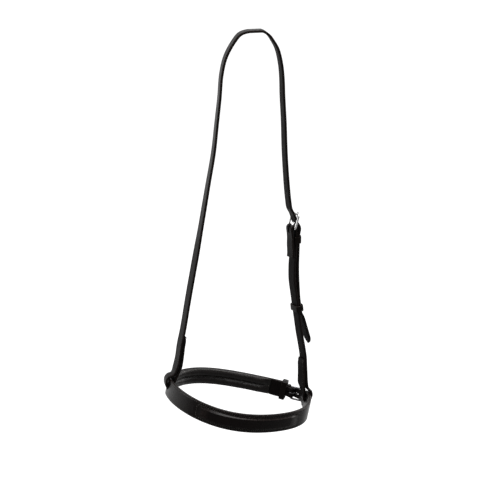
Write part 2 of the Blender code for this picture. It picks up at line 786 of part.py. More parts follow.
def nose_half_height(s):
    """Half height of the nosepiece's leather, drawn in to the billet behind the near-side slot."""
    start = -NECK_START
    end = -(TOE_PLACE - NECK_LEAD)
    wide = BAND_HEIGHT / 2.0
    slim = BILLET_WIDTH / 2.0
    return slim + (wide - slim) * between(end, start, s)


def raised_share(s):
    """How far the nosepiece stands up at this place, from 0 on the flat ends to 1."""
    off = abs(s - RING.front / 2.0)
    return 1.0 - between(RAISED_HALF_LENGTH - PAD_RAMP, RAISED_HALF_LENGTH, off)


def raised_profile(up):
    edge = BAND_HEIGHT / 2.0 - RAISED_MARGIN
    return 1.0 - between(edge - RAISED_SHOULDER, edge, abs(up))


FRONT_BASE = FIT_GAP / 2.0


def nosepiece():
    edge = BAND_HEIGHT / 2.0 - RAISED_MARGIN
    knee = edge - RAISED_SHOULDER
    levels = (-edge, -edge + 0.3 * RAISED_SHOULDER, -edge + 0.7 * RAISED_SHOULDER, -knee, knee,
              edge - 0.7 * RAISED_SHOULDER, edge - 0.3 * RAISED_SHOULDER, edge)
    ease = 0.26 * FRONT_THICK

    def front_section(s):
        half = nose_half_height(s)
        scale = half / (BAND_HEIGHT / 2.0)
        lift = RAISED_HEIGHT * raised_share(s)
        top = FRONT_BASE + FRONT_THICK
        tail = RING.front + OFF_SIDE_LAP - s
        tip = s + BILLET_LENGTH
        if tail < TIP_LENGTH * 0.6:
            half *= math.sqrt(max(0.0, 1.0 - (1.0 - tail / (TIP_LENGTH * 0.6)) ** 2)) * 0.85 + 0.15
            scale = half / (BAND_HEIGHT / 2.0)
        if tip < TIP_LENGTH:
            half *= tip_width(tip / TIP_LENGTH)
            scale = half / (BAND_HEIGHT / 2.0)
        cut_in = min(ease, 0.3 * half)
        outline = [(-half, FRONT_BASE + ease), (-half, top - ease), (-half + cut_in, top)]
        outline += [(up * scale, top + lift * raised_profile(up)) for up in levels]
        outline += [(half - cut_in, top), (half, top - ease), (half, FRONT_BASE + ease)]
        outline += [(half - cut_in, FRONT_BASE)]
        outline += [
            (up * scale, FRONT_BASE + lift * raised_profile(up)) for up in reversed(levels)
        ]
        outline += [(-half + cut_in, FRONT_BASE)]
        return outline

    middle = RING.front / 2.0
    pad_end = middle - SLOT_HALF_LENGTH - PAD_END_GAP
    ramps = []
    for end in (RAISED_HALF_LENGTH, pad_end):
        ramps.append((middle - end, middle - end + PAD_RAMP))
        ramps.append((middle + end - PAD_RAMP, middle + end))
    grid = RING.steps(-JAW_START, RING.front + JAW_START - FIT_GAP, ramps)

    tip_places = [-BILLET_LENGTH + share * TIP_LENGTH for share, _ in reversed(TIP_SHARES)]
    lap = RING.front + OFF_SIDE_LAP
    tail_places = [lap - share * TIP_LENGTH * 0.6 for share in (1.0, 0.6, 0.3, 0.1, 0.0)]
    near = RING.steps(tip_places[-1], grid[0])
    off = RING.steps(grid[-1], tail_places[0])
    places = tip_places[:-1] + near[:-1] + grid + off[1:] + tail_places[1:]
    front = band("nosepiece_front", places, front_section, LOOKS["nosepiece_front"])

    def filler_section(s):
        lift = RAISED_HEIGHT * raised_share(s)
        ups = (-edge + 0.45 * RAISED_SHOULDER, -knee, -0.5 * knee, 0.5 * knee, knee,
               edge - 0.45 * RAISED_SHOULDER)
        low = [(up, FRONT_BASE) for up in reversed(ups)]
        inset = FIT_GAP * 0.8
        high = [(up, FRONT_BASE + max(lift * raised_profile(up * 1.06) - inset, 0.25 * inset))
                for up in ups]
        return high + low

    ends = RAISED_HALF_LENGTH - 0.55 * PAD_RAMP
    places = within(grid, middle - ends, middle + ends)
    band("nosepiece_filler", places, filler_section, LOOKS["nosepiece_filler"])

    pad_half = BAND_HEIGHT / 2.0 - NOSE_PAD_MARGIN
    shares = (-1.0, -0.93, -0.75, -0.4, 0.0, 0.4, 0.75, 0.93, 1.0)

    def crown(up, grow):
        share = min(1.0, abs(up) / (pad_half + grow))
        return (NOSE_PAD_DEPTH + grow) * math.sqrt(1.0 - share * share)

    def pad_share(s):
        off = abs(s - RING.front / 2.0)
        return 1.0 - between(pad_end - PAD_RAMP, pad_end, off)

    def lining_section(s):
        half = nose_half_height(s) - LINING_INSET
        grow = pad_share(s)
        high = []
        low = []
        for share in (-1.0, -0.985) + shares[1:-1] + (0.985, 1.0):
            up = share * half
            under = grow * crown(share * pad_half * 1.03, FIT_GAP) if abs(share) < 0.98 else 0.0
            high.append((up, -FRONT_BASE - under))
            deep = LINING_THICK + grow * max(
                0.0, crown(share * pad_half, FIT_GAP + LINING_THICK) - LINING_THICK)
            ease_in = 0.35 * LINING_THICK if abs(share) == 1.0 else 0.0
            low.append((up, -FRONT_BASE - deep + ease_in))
        return high + list(reversed(low))

    lining = band("nosepiece_lining", grid, lining_section, LOOKS["nosepiece_lining"])

    def pad_section(s):
        grow = pad_share(s)
        ups = [share * (pad_half - PAD_INSET) for share in shares[1:-1]]
        high = [(up, -FRONT_BASE) for up in ups]
        low = [(up, -FRONT_BASE - max(grow * crown(up * 1.06, FIT_GAP) - FIT_GAP, PAD_EDGE_THICK))
               for up in ups]
        return high + list(reversed(low))

    ends = pad_end - 0.5 * PAD_RAMP
    places = within(grid, middle - ends, middle + ends)
    band("nosepiece_padding", places, pad_section, LOOKS["nosepiece_padding"])

    slots = []
    for place in (0.0, RING.front):
        slots.append((RING.place(place, 0.0), RING.out_at(place), FLAT_NORMAL,
                      SLOT_HALF_LENGTH, SLOT_HALF_HEIGHT))
    slot_cutter = oval_cutter("slot_cutter", slots)
    cut(front, slot_cutter)
    cut(lining, slot_cutter)
    return front


def jaw_half_width(place):
    """Half width of the jaw strap, this far behind the near-side slot."""
    slim = BILLET_WIDTH / 2.0
    wide = JAW_WIDTH / 2.0
    start = JAW_KEEPER_PLACE + JAW_KEEPER_WIDTH / 2.0 + FIT_GAP
    end = start + JAW_RUNNER_WIDTH
    return slim + (wide - slim) * between(start, end, place)


def jaw():
    middle = -FRONT_BASE - JAW_THICK / 2.0
    inner = -FRONT_BASE - JAW_THICK
    bar_out = inner - FIT_GAP - JAW_BAR_RADIUS
    heel = RING.place(-HEEL_PLACE, bar_out)
    out = RING.out_at(-HEEL_PLACE)
    toe = RING.place(-TOE_PLACE, FRONT_BASE + FRONT_THICK + ROCK_GAP + JAW_BAR_RADIUS)
    buckle = Buckle(heel, toe, out, ROLL_UP, JAW_BAR_RADIUS, BILLET_WIDTH / 2.0)
    fold = JAW_BAR_RADIUS + FIT_GAP + JAW_THICK / 2.0

    # the turned-back end, the fold round the heel bar and the strap's long run round the back
    points = []
    widths = []
    deep = inner - KEEPER_THICK - 2.6 * FIT_GAP - JAW_THICK / 2.0
    near = inner - FIT_GAP - JAW_THICK / 2.0
    keeper_end = JAW_KEEPER_PLACE + JAW_KEEPER_WIDTH / 2.0
    run = JAW_TURNBACK_PLACE
    while run > HEEL_PLACE + SAMPLE_STEP:
        level = near + (deep - near) * between(
            keeper_end + JAW_TURNBACK_LEAD + JAW_TURNBACK_RISE, keeper_end + JAW_TURNBACK_LEAD, run)
        level += (bar_out - fold - deep) * between(
            JAW_KEEPER_PLACE - JAW_KEEPER_WIDTH / 2.0, HEEL_PLACE, run)
        points.append(RING.place(-run, level))
        widths.append(jaw_half_width(run))
        run -= SAMPLE_STEP
    for k in range(25):
        angle = -math.pi / 2.0 + math.pi * k / 24.0
        points.append(buckle.spot(fold * math.cos(angle), fold * math.sin(angle)))
        widths.append(BILLET_WIDTH / 2.0)
    run = HEEL_PLACE + SAMPLE_STEP
    end = RING.back - JAW_START
    while run < end:
        points.append(RING.place(-run, middle))
        widths.append(jaw_half_width(run))
        run += SAMPLE_STEP
    jaw_strap = strap("jaw_strap", points, widths, JAW_THICK, ring_across, LOOKS["jaw_strap"],
                      long_step=0.6 * RING_STEP)
    cut(jaw_strap, buckle.tongue_slot("jaw_tongue_cutter"))

    # two rolls and the lining that is drawn in between them
    base = inner - FIT_GAP
    roll_low = ROLL_CHANNEL
    roll_high = JAW_WIDTH / 2.0 - ROLL_MARGIN
    roll_mid = (roll_low + roll_high) / 2.0
    roll_half = (roll_high - roll_low) / 2.0
    first = JAW_TURNBACK_PLACE + ROLL_START_GAP
    last = RING.back - JAW_START - ROLL_END_GAP

    def roll(up, grow):
        share = min(1.0, abs(abs(up) - roll_mid) / (roll_half + grow))
        return (ROLL_DEPTH + grow) * math.sqrt(1.0 - share * share)

    def roll_share(s):
        place = -s
        return between(first, first + PAD_RAMP, place) * (
            1.0 - between(last - PAD_RAMP, last, place))

    def lining_section(s):
        half = JAW_WIDTH / 2.0 - JAW_LINING_INSET
        grow = roll_share(s)
        tops = [-half, -roll_high - FIT_GAP * 0.5]
        tops += [-roll_mid - roll_half * k for k in (0.9, 0.6, 0.0, -0.6, -0.9)]
        tops += [-roll_low * 0.6]
        tops = tops + [-up for up in reversed(tops)]
        high = []
        for up in tops:
            under = roll(up, FIT_GAP) if roll_low < abs(up) < roll_high else 0.0
            high.append((up, base - grow * under))
        lows = [-half, -half + JAW_LINING_EASE]
        lows += [-roll_mid - roll_half * k for k in (0.8, 0.45, 0.0, -0.45, -0.8)]
        lows += [-0.4 * roll_low]
        lows = lows + [-up for up in reversed(lows)]
        low = []
        for up in lows:
            deep_here = max(roll(up, FIT_GAP + LINING_THICK), LINING_THICK)
            thick = LINING_THICK + grow * (deep_here - LINING_THICK)
            if abs(up) == half:
                thick -= 0.35 * LINING_THICK
            low.append((up, base - thick))
        return high + list(reversed(low))

    ramps = ((-last, -last + PAD_RAMP), (-first - PAD_RAMP, -first))
    grid = RING.steps(-last, -first, ramps)
    band("jaw_lining", grid, lining_section, LOOKS["jaw_lining"])

    for name, sign in (("jaw_padding_upper", 1.0), ("jaw_padding_lower", -1.0)):
        def roll_section(s, sign=sign):
            grow = roll_share(s)
            shares = (-0.88, -0.7, -0.35, 0.0, 0.35, 0.7, 0.88)
            ups = [sign * (roll_mid + roll_half * k) for k in shares]
            high = [(up, base) for up in ups]
            low = [
                (up, base - max(grow * roll(sign * roll_mid + (up - sign * roll_mid) * 1.06, FIT_GAP)
                                - FIT_GAP * 1.2, PAD_EDGE_THICK))
                for up in ups
            ]
            return high + list(reversed(low))

        trim = 0.42 * PAD_RAMP
        places = within(grid, -last + trim, -first - trim)
        band(name, places, roll_section, LOOKS[name])

    buckle.frame("jaw_buckle_frame")
    buckle.tongue("jaw_buckle_tongue", 3.9 * STRAP_THICK)

    # sewn keeper and runner
    spot = RING.place(-JAW_KEEPER_PLACE, 0.0)
    face = RING.out_at(-JAW_KEEPER_PLACE)
    room = FIT_GAP * 1.3 + KEEPER_THICK / 2.0
    outline = rounded_loop(
        BILLET_WIDTH / 2.0 + FIT_GAP * 1.5 + KEEPER_THICK / 2.0, inner - room,
        FRONT_BASE + FRONT_THICK + room, 1.3 * KEEPER_THICK, 3, 0.5 * KEEPER_DOME)
    wire_loop("jaw_fixed_keeper", spot, ROLL_UP, face, outline,
              leather_section(KEEPER_THICK, JAW_KEEPER_WIDTH), LOOKS["jaw_fixed_keeper"])
    spot = RING.place(-JAW_RUNNER_PLACE, 0.0)
    face = RING.out_at(-JAW_RUNNER_PLACE)
    room = SLIDE_GAP + RUNNER_THICK / 2.0
    outline = rounded_loop(
        JAW_WIDTH / 2.0 + SLIDE_GAP + RUNNER_THICK / 2.0,
        inner - KEEPER_THICK - 2.6 * FIT_GAP - JAW_THICK - room,
        FRONT_BASE + FRONT_THICK + room, 1.3 * RUNNER_THICK, 3, 0.3 * KEEPER_DOME)
    runner = wire_loop("jaw_runner", spot, ROLL_UP, face, outline,
                       leather_section(RUNNER_THICK, JAW_RUNNER_WIDTH), LOOKS["jaw_runner"], spot)
    return buckle, runner


def billet_holes(front, buckle):
    """Holes in the nosepiece's billet, one of them where the jaw buckle's tongue comes through."""
    path = []
    run = SLOT_HALF_LENGTH
    while run < BILLET_LENGTH:
        path.append(RING.place(-run, FRONT_BASE + FRONT_THICK / 2.0))
        run += SAMPLE_STEP
    used = buckle.crossing(path)
    cut(front, oval_cutter(
        "billet_hole_cutter", hole_row(path, used, JAW_HOLE_PITCH, (0, 1, 2), ring_across)))


clear_scene()
head_buckle, runner_spot, runner_way = headstrap_and_cheek()
nose_front = nosepiece()
jaw_buckle, jaw_runner_object = jaw()
billet_holes(nose_front, jaw_buckle)
for label, value in (
    ("heel", head_buckle.heel), ("heel axis", head_buckle.across), ("runner", runner_spot),
    ("runner way", runner_way), ("jaw heel", jaw_buckle.heel), ("ring centre", RING_CENTRE),
    ("ring along", ROLL_ALONG), ("ring up", ROLL_UP),
    ("jaw runner", RING.place(-JAW_RUNNER_PLACE, 0.0)),
    ("jaw runner way", RING.along_at(-JAW_RUNNER_PLACE)),
):
    print(label, [round(x, 6) for x in value])
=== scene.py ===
import bisect
import math

import bmesh
import bpy
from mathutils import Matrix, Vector, noise


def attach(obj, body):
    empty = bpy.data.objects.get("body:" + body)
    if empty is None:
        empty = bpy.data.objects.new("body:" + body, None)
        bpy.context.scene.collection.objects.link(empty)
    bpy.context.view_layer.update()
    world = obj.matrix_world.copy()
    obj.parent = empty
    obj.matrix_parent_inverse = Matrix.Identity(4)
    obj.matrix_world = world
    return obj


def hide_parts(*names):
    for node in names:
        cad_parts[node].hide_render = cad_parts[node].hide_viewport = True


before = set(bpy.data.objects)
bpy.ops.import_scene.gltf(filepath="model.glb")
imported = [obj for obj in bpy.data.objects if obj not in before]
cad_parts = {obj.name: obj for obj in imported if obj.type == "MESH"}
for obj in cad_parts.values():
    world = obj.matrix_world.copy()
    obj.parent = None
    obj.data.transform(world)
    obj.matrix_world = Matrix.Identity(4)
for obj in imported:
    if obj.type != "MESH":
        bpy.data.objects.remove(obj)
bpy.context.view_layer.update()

MM = 0.001

# the sizes of the solids, which the pieces here follow
FIT_GAP = 0.3 * MM
ROCK_GAP = 1.0 * MM
SLIDE_GAP = 0.6 * MM
STRAP_WIDTH = 15.0 * MM
STRAP_THICK = 3.5 * MM
TIP_LENGTH = 13.0 * MM
BAND_HEIGHT = 27.5 * MM
FRONT_THICK = 2.6 * MM
LINING_THICK = 1.2 * MM
KEEPER_THICK = 1.4 * MM
RUNNER_THICK = 1.9 * MM
RING_DROP = 537.0 * MM
RING_SHIFT = -25.5 * MM
RING_HALF_WIDTH = 105.5 * MM
RING_FRONT = 109.0 * MM
RING_BACK = 59.0 * MM
RING_ROLL = math.radians(11.5)
FRONT_SKEW_SHARE = 0.14
BACK_SKEW_SHARE = 0.30
SLOT_HALF_LENGTH = 9.75 * MM
RAISED_HALF_LENGTH = 84.0 * MM
RAISED_HEIGHT = 2.9 * MM
RAISED_MARGIN = 5.0 * MM
RAISED_SHOULDER = 2.6 * MM
NOSE_PAD_DEPTH = 3.0 * MM
NOSE_PAD_MARGIN = 2.0 * MM
OFF_SIDE_LAP = 30.0 * MM
BILLET_WIDTH = 15.0 * MM
BILLET_LENGTH = 98.0 * MM
JAW_WIDTH = 25.0 * MM
JAW_THICK = 2.6 * MM
JAW_START = 13.5 * MM
TOE_PLACE = 14.5 * MM
HEEL_PLACE = 30.7 * MM
JAW_KEEPER_PLACE = 37.5 * MM
JAW_KEEPER_WIDTH = 4.2 * MM
JAW_RUNNER_PLACE = 44.5 * MM
JAW_RUNNER_WIDTH = 8.0 * MM
JAW_TURNBACK_PLACE = 65.0 * MM
ROLL_DEPTH = 4.2 * MM
ROLL_CHANNEL = 1.0 * MM
ROLL_MARGIN = 0.8 * MM
PAD_RAMP = 13.0 * MM
LOOP_RADIUS = 5.45 * MM
NEAR_TURNBACK = 40.0 * MM
OFF_TURNBACK = 52.0 * MM
CROWN_FLAT = 9.0 * MM
BAR_RADIUS = 1.5 * MM
JAW_BAR_RADIUS = 1.4 * MM
TONGUE_RADIUS = 1.1 * MM
EYE_GAP = 0.25 * MM
FRAME_REACH = 21.7 * MM
FRAME_CORNER = 3.2 * MM
FRAME_SIDE_GAP = 0.6 * MM
FRAME_LEAN = math.radians(19.0)
TONGUE_RISE = math.radians(50.0)
TONGUE_SLOT_HALF = 1.9 * MM
HOLE_HALF_LENGTH = 3.1 * MM
HOLE_HALF_WIDTH = 1.6 * MM
HOLE_PITCH = 25.0 * MM
JAW_HOLE_PITCH = 18.0 * MM
NECK_START = 2.0 * MM
NECK_LEAD = 2.4 * MM
KEEPER_DROP = 17.5 * MM
KEEPER_WIDTH = 10.0 * MM
KEEPER_DOME = 3.2 * MM
HEEL_CLEARANCE = 2.6 * MM
RUNNER_DROP = 123.7 * MM
RUNNER_WIDTH = 9.5 * MM
CHAPE_TURNBACK = 44.5 * MM
TURN_ANGLE = math.radians(22.0)
SAMPLE_STEP = 0.5 * MM
CUT_DEPTH = 14.0 * MM
OFF_LEG_SHARES = (
    (0.176, 0.0035), (0.247, 0.0225), (0.349, 0.0667), (0.399, 0.1163), (0.424, 0.1837),
    (0.458, 0.2552), (0.499, 0.3409), (0.569, 0.4368), (0.672, 0.5797), (0.820, 0.7736),
    (0.895, 0.8777), (0.935, 0.9226), (0.966, 0.9700),
)
NEAR_LEG_SHARES = (
    (0.243, 0.0075), (0.332, 0.0251), (0.413, 0.0472), (0.478, 0.0868), (0.505, 0.1245),
    (0.517, 0.1698), (0.545, 0.2396), (0.569, 0.3283), (0.612, 0.4170), (0.646, 0.4642),
)
CHEEK_SHARES = (
    (0.757, 0.5392), (0.764, 0.5736), (0.748, 0.6132), (0.732, 0.6509), (0.736, 0.6906),
    (0.768, 0.7264), (0.805, 0.7642), (0.842, 0.8019), (0.889, 0.8491), (0.933, 0.8849),
    (0.967, 0.9170), (0.982, 0.9547),
)
HEEL_SHARE = 0.5392
NEAR_FLARE_SHARES = ((-1.30, 1.00), (-0.96, 0.86), (-0.38, 0.705), (0.70, 0.58), (1.12, 0.415))
OFF_FLARE_SHARES = ((-0.77, 1.02), (-0.64, 0.855), (-0.30, 0.70), (0.68, 0.585), (1.14, 0.415))
OFF_TURN_SHARES = (
    (0.15, 0.0), (0.34, 0.12), (0.50, 0.32), (0.60, 0.64), (0.900, 0.64), (0.936, 0.0),
)
TAIL_SHARES = ((0.029, 0.80), (0.063, 1.70), (0.113, 2.75))
BILLET_BULGE_SHARE = 0.60
RUNNER_BULGE_SHARE = 0.28
TIP_SHARES = ((1.0, 1.0), (0.72, 0.93), (0.46, 0.76), (0.24, 0.54), (0.09, 0.33), (0.0, 0.16))

# where the looks depart a little from the solids
BILLET_SAG = 0.8 * MM
SLOT_RISE = 0.2 * MM
SLOT_OPEN_LENGTH = 9.0 * MM
SLOT_OPEN_HEIGHT = 3.55 * MM
RAISED_RAMP = 23.0 * MM
CHANNEL_SHARE = 0.60
LOOP_OUT_REACH = 5.85 * MM
LOOP_IN_REACH = 5.05 * MM
LOOP_INSIDE_SHARE = (1.30, 0.50)
# the turned-back end: shares of its height and of the layer that it lies on
CLIMB_SHARES = ((0.04, 1.42), (0.22, 1.26), (0.45, 1.12), (0.72, 1.04), (1.0, 1.0))
NEAR_TURN_SHARES = (
    (0.00, 0.0), (0.05, 0.22), (0.20, 0.36), (0.33, 0.45), (0.45, 0.56), (0.52, 0.72), (0.60, 1.0),
    (0.80, 1.0), (0.92, 1.0), (0.985, 1.1), (1.006, 0.4), (1.016, 0.0),
)

# the finer sizes that only the looks have
FINE_STEP = 2.0 * MM
GRID_STEP = 1.6 * MM
PUCKER_STEP = 0.8 * MM
FINE_BEND = math.radians(4.0)
SHARP_ANGLE = math.radians(38.0)
EDGE_EASE = 0.75 * MM
CREASE_INSET = 1.9 * MM
CREASE_HALF = 0.55 * MM
CREASE_DEPTH = 0.22 * MM
STITCH_PITCH = 3.1 * MM
STITCH_LENGTH = 2.5 * MM
THREAD_RADIUS = 0.36 * MM
THREAD_SINK = 0.10 * MM
STITCH_SLANT = math.radians(11.0)
# a stitch from end to end: place, thickness and depth as shares
STITCH_SHARES = (
    (-1.0, 0.35, -1.15), (-0.86, 0.80, -0.62), (-0.5, 1.0, -0.12), (0.0, 1.04, 0.0),
    (0.5, 1.0, -0.12), (0.86, 0.80, -0.62), (1.0, 0.35, -1.15),
)
SEAM_END = 2.4 * MM
SEAM_LOW_SHARE = 1.15
SEAM_INSET = 2.0 * MM
PAD_SEAM_INSET = 1.5 * MM
NOSE_SEAM_HALF = 1.4 * MM
NOSE_SEAM_DEPTH = 0.55 * MM
CHANNEL_REACH = 4.2 * MM
FRONT_WAVE = 0.12 * MM
NOSE_LINING_WAVE = 0.10 * MM
JAW_LINING_WAVE = 0.5 * MM
NOSE_LINING_INSET = 0.3 * MM
JAW_LINING_INSET = 0.2 * MM
KEEPER_CREASE_INSET = 1.5 * MM
KEEPER_CREASE_HALF = 0.6 * MM
KEEPER_CREASE_DEPTH = 0.16 * MM
TONGUE_STEP = 0.9 * MM
TONGUE_BEND = math.radians(7.0)
PUCKER_DEPTH = 0.34 * MM
PUCKER_REACH = 2.6 * MM
SKIVE_LENGTH = 9.0 * MM
SKIVE_SHARE = 0.42
EYE_TURN = math.radians(250.0)
EYE_LEAVE = TONGUE_RISE - math.pi / 2.0
FOOT_GAP = 0.9 * MM
FOOT_CREASE = 0.8 * MM
FOOT_CORNER = 5.0 * MM
FOOT_ROW = BAND_HEIGHT / 2.0 - RAISED_MARGIN + FOOT_GAP
EDGE_ROW = BAND_HEIGHT / 2.0 - 1.7 * MM
JAW_EDGE_ROW = JAW_WIDTH / 2.0 - 1.4 * MM
FLAT_SHARES = (-0.97, -0.5, 0.0, 0.5, 0.97)

FLAT_NORMAL = Vector((0.0, 1.0, 0.0))
ROLL_ALONG = Vector((math.cos(RING_ROLL), 0.0, -math.sin(RING_ROLL)))
ROLL_UP = Vector((math.sin(RING_ROLL), 0.0, math.cos(RING_ROLL)))
RING_CENTRE = Vector((RING_SHIFT, 0.0, -RING_DROP))
LAYER = STRAP_THICK + FIT_GAP
FRONT_BASE = FIT_GAP / 2.0
FRONT_TOP = FRONT_BASE + FRONT_THICK
FRONT_MID = (FRONT_BASE + FRONT_TOP) / 2.0
RAISED_EDGE = BAND_HEIGHT / 2.0 - RAISED_MARGIN
JAW_INNER = -FRONT_BASE - JAW_THICK
JAW_BASE = JAW_INNER - FIT_GAP
JAW_UNDER = JAW_INNER - KEEPER_THICK - 2.6 * FIT_GAP
JAW_KEEPER_FIRST = JAW_KEEPER_PLACE - JAW_KEEPER_WIDTH / 2.0
JAW_KEEPER_LAST = JAW_KEEPER_PLACE + JAW_KEEPER_WIDTH / 2.0
ROLL_HIGH = JAW_WIDTH / 2.0 - ROLL_MARGIN
ROLL_MID = (ROLL_CHANNEL + ROLL_HIGH) / 2.0
ROLL_HALF = (ROLL_HIGH - ROLL_CHANNEL) / 2.0


def between(low, high, value):
    """Smooth step from 0 at low to 1 at high."""
    share = min(1.0, max(0.0, (value - low) / (high - low)))
    return share * share * (3.0 - 2.0 * share)


def steps(start, end, step):
    count = max(2, math.ceil((end - start) / step))
    return [start + (end - start) * i / count for i in range(count + 1)]


def walk(place, end):
    """Places up or down to the end, one sample step apart."""
    step = math.copysign(SAMPLE_STEP, end - place)
    while (end - place) * step > 0.0:
        yield place
        place += step


def smooth_path(points, before=None, after=None):
    """A smooth curve through the points, sampled closely."""
    chain = [Vector(point) for point in points]
    first = Vector(before) if before else chain[0] * 2.0 - chain[1]
    last = Vector(after) if after else chain[-1] * 2.0 - chain[-2]
    chain = [first] + chain + [last]
    out = []
    for p0, p1, p2, p3 in zip(chain, chain[1:], chain[2:], chain[3:]):
        k0, k1, k2 = (math.sqrt((b - a).length) for a, b in ((p0, p1), (p1, p2), (p2, p3)))
        m1 = p2 - p1 + ((p1 - p0) / k0 - (p2 - p0) / (k0 + k1)) * k1
        m2 = p2 - p1 + ((p3 - p2) / k2 - (p3 - p1) / (k1 + k2)) * k1
        count = max(2, math.ceil((p2 - p1).length / SAMPLE_STEP))
        for u in (i / count for i in range(count)):
            out.append(p1 * (2 * u**3 - 3 * u**2 + 1) + m1 * (u**3 - 2 * u**2 + u)
                       + p2 * (3 * u**2 - 2 * u**3) + m2 * (u**3 - u**2))
    return out + [chain[-2]]


def lengths(points):
    out = [0.0]
    for a, b in zip(points, points[1:]):
        out.append(out[-1] + (b - a).length)
    return out


def tangent_at(points, i):
    return (points[min(len(points) - 1, i + 1)] - points[max(0, i - 1)]).normalized()


def nearest_index(values, value):
    return min(range(len(values)), key=lambda i: abs(values[i] - value))


def height_index(path, height, low=0, high=None):
    """Index of the path's point nearest to this height, from low up to high."""
    high = len(path) if high is None else high
    return min(range(low, high), key=lambda i: abs(path[i].z - height))


def pick_stations(points, step=FINE_STEP, bend_step=FINE_BEND):
    """Indexes of the path's points that become sections."""
    chosen = [0]
    run = bend = 0.0
    for i in range(1, len(points) - 1):
        run += (points[i] - points[i - 1]).length
        bend += tangent_at(points, i).angle(tangent_at(points, i - 1), 0.0)
        if run >= step or bend >= bend_step:
            chosen.append(i)
            run = bend = 0.0
    return chosen + [len(points) - 1]


def tip_width(share):
    """Width of a pointed end as a share of the strap's, by the way left to the point."""
    for (far, wide), (near, slim) in zip(TIP_SHARES, TIP_SHARES[1:]):
        if share >= near:
            return slim + (wide - slim) * (share - near) / (far - near)
    return TIP_SHARES[-1][1]


def head_across(point):
    """Which way the head straps' width lies here; each side is turned by its height."""
    share = -point.z / RING_DROP
    shares = NEAR_TURN_SHARES if point.x > 0.0 else OFF_TURN_SHARES
    turn = 0.0
    for (low, a), (high, b) in zip(shares, shares[1:]):
        if share < high:
            turn = TURN_ANGLE * (a + (b - a) * between(low, high, share))
            break
    return Vector((-math.sin(turn), math.cos(turn), 0.0))


def ring_across(point):
    return ROLL_UP


def beside(path, height, distance):
    """The point at this height on a layer that lies beside the path, towards +X if positive."""
    i = height_index(path, height)
    normal = head_across(path[i]).cross(tangent_at(path, i)).normalized()
    if normal.x < 0.0:
        normal = -normal
    return path[i] + normal * distance


class Ring:
    """The oval that the noseband's layers are laid on, measured from the near-side slot."""

    def __init__(self):
        low = -math.pi
        high = math.pi * 1.25
        count = 1800
        self.angles = [low + (high - low) * i / count for i in range(count + 1)]
        run = lengths([self.shape(angle)[0] for angle in self.angles])
        zero = run[nearest_index(self.angles, 0.0)]
        self.run = [value - zero for value in run]
        self.front = self.run[nearest_index(self.angles, math.pi)]
        self.back = -self.run[0]

    def shape(self, angle):
        """The flat point at this angle, and how it moves as the angle grows."""
        front = 0.0 <= angle <= math.pi
        depth, skew = (RING_FRONT, FRONT_SKEW_SHARE) if front else (RING_BACK, BACK_SKEW_SHARE)
        s = math.sin(angle)
        c = math.cos(angle)
        bend = skew * (3.0 * s * s * c * c - s**4)
        return (Vector((RING_HALF_WIDTH * c, -depth * (s - skew * c * s**3), 0.0)),
                Vector((-RING_HALF_WIDTH * s, -depth * (c - bend), 0.0)))

    def angle_at(self, place):
        i = min(len(self.run) - 2, max(0, bisect.bisect_right(self.run, place) - 1))
        share = (place - self.run[i]) / (self.run[i + 1] - self.run[i])
        return self.angles[i] + share * (self.angles[i + 1] - self.angles[i])

    def out_at(self, place):
        way = self.shape(self.angle_at(place))[1].normalized()
        return ROLL_ALONG * -way.y + FLAT_NORMAL * way.x

    def place(self, place, out, up=0.0):
        flat = self.shape(self.angle_at(place))[0]
        point = RING_CENTRE + ROLL_ALONG * flat.x + FLAT_NORMAL * flat.y
        return point + self.out_at(place) * out + ROLL_UP * up


RING = Ring()
MIDDLE = RING.front / 2.0
NOSE_PAD_HALF = BAND_HEIGHT / 2.0 - NOSE_PAD_MARGIN
NOSE_PAD_END = MIDDLE - SLOT_HALF_LENGTH - 6.0 * MM
ROLL_FIRST = JAW_TURNBACK_PLACE + 1.5 * MM
ROLL_LAST = RING.back - JAW_START - 2.0 * MM


class Nodes:
    """The nodes of a material or of the world, with short ways to add and join them."""

    def __init__(self, owner, shader="Principled BSDF", space="Object"):
        owner.use_nodes = True
        self.owner = owner
        self.tree = owner.node_tree
        self.shader = self.tree.nodes[shader]
        self.coords = self.new("TexCoord").outputs[space]

    def new(self, kind):
        return self.tree.nodes.new("ShaderNode" + kind)

    def fill(self, values, made=None):
        """Set inputs of the shader or another node, or join them to outputs."""
        for key, value in values.items():
            socket = (made or self.shader).inputs[key]
            if isinstance(value, bpy.types.NodeSocket):
                self.tree.links.new(value, socket)
            else:
                socket.default_value = value

    def ramp(self, source, low, high, from_low=0.0, from_high=1.0):
        made = self.new("MapRange")
        self.fill({"Value": source, "From Min": from_low, "From Max": from_high, "To Min": low,
                   "To Max": high}, made)
        return made.outputs["Result"]

    def mix(self, share, *colours):
        """Mix two colours, each a socket or three numbers."""
        made = self.new("Mix")
        made.data_type = "RGBA"
        first, second = ((*c, 1.0) if isinstance(c, tuple) else c for c in colours)
        self.fill({"Factor": share, 6: first, 7: second}, made)
        return made.outputs[2]

    def sums(self, operation, first, second):
        made = self.new("Math")
        made.operation = operation
        self.fill({0: first, 1: second}, made)
        return made.outputs[0]

    def attribute(self, name):
        made = self.new("Attribute")
        made.attribute_name = name
        return made.outputs["Fac"]

    def texture(self, kind, scale, **values):
        made = self.new(kind)
        if kind == "TexVoronoi":
            made.feature = "SMOOTH_F1"
        self.fill({"Vector": self.coords, "Scale": scale, **values}, made)
        return made.outputs[0]

    def bump(self, height, strength, distance):
        made = self.new("Bump")
        self.fill({"Strength": strength, "Distance": distance * MM, "Height": height}, made)
        self.fill({"Normal": made.outputs["Normal"]})


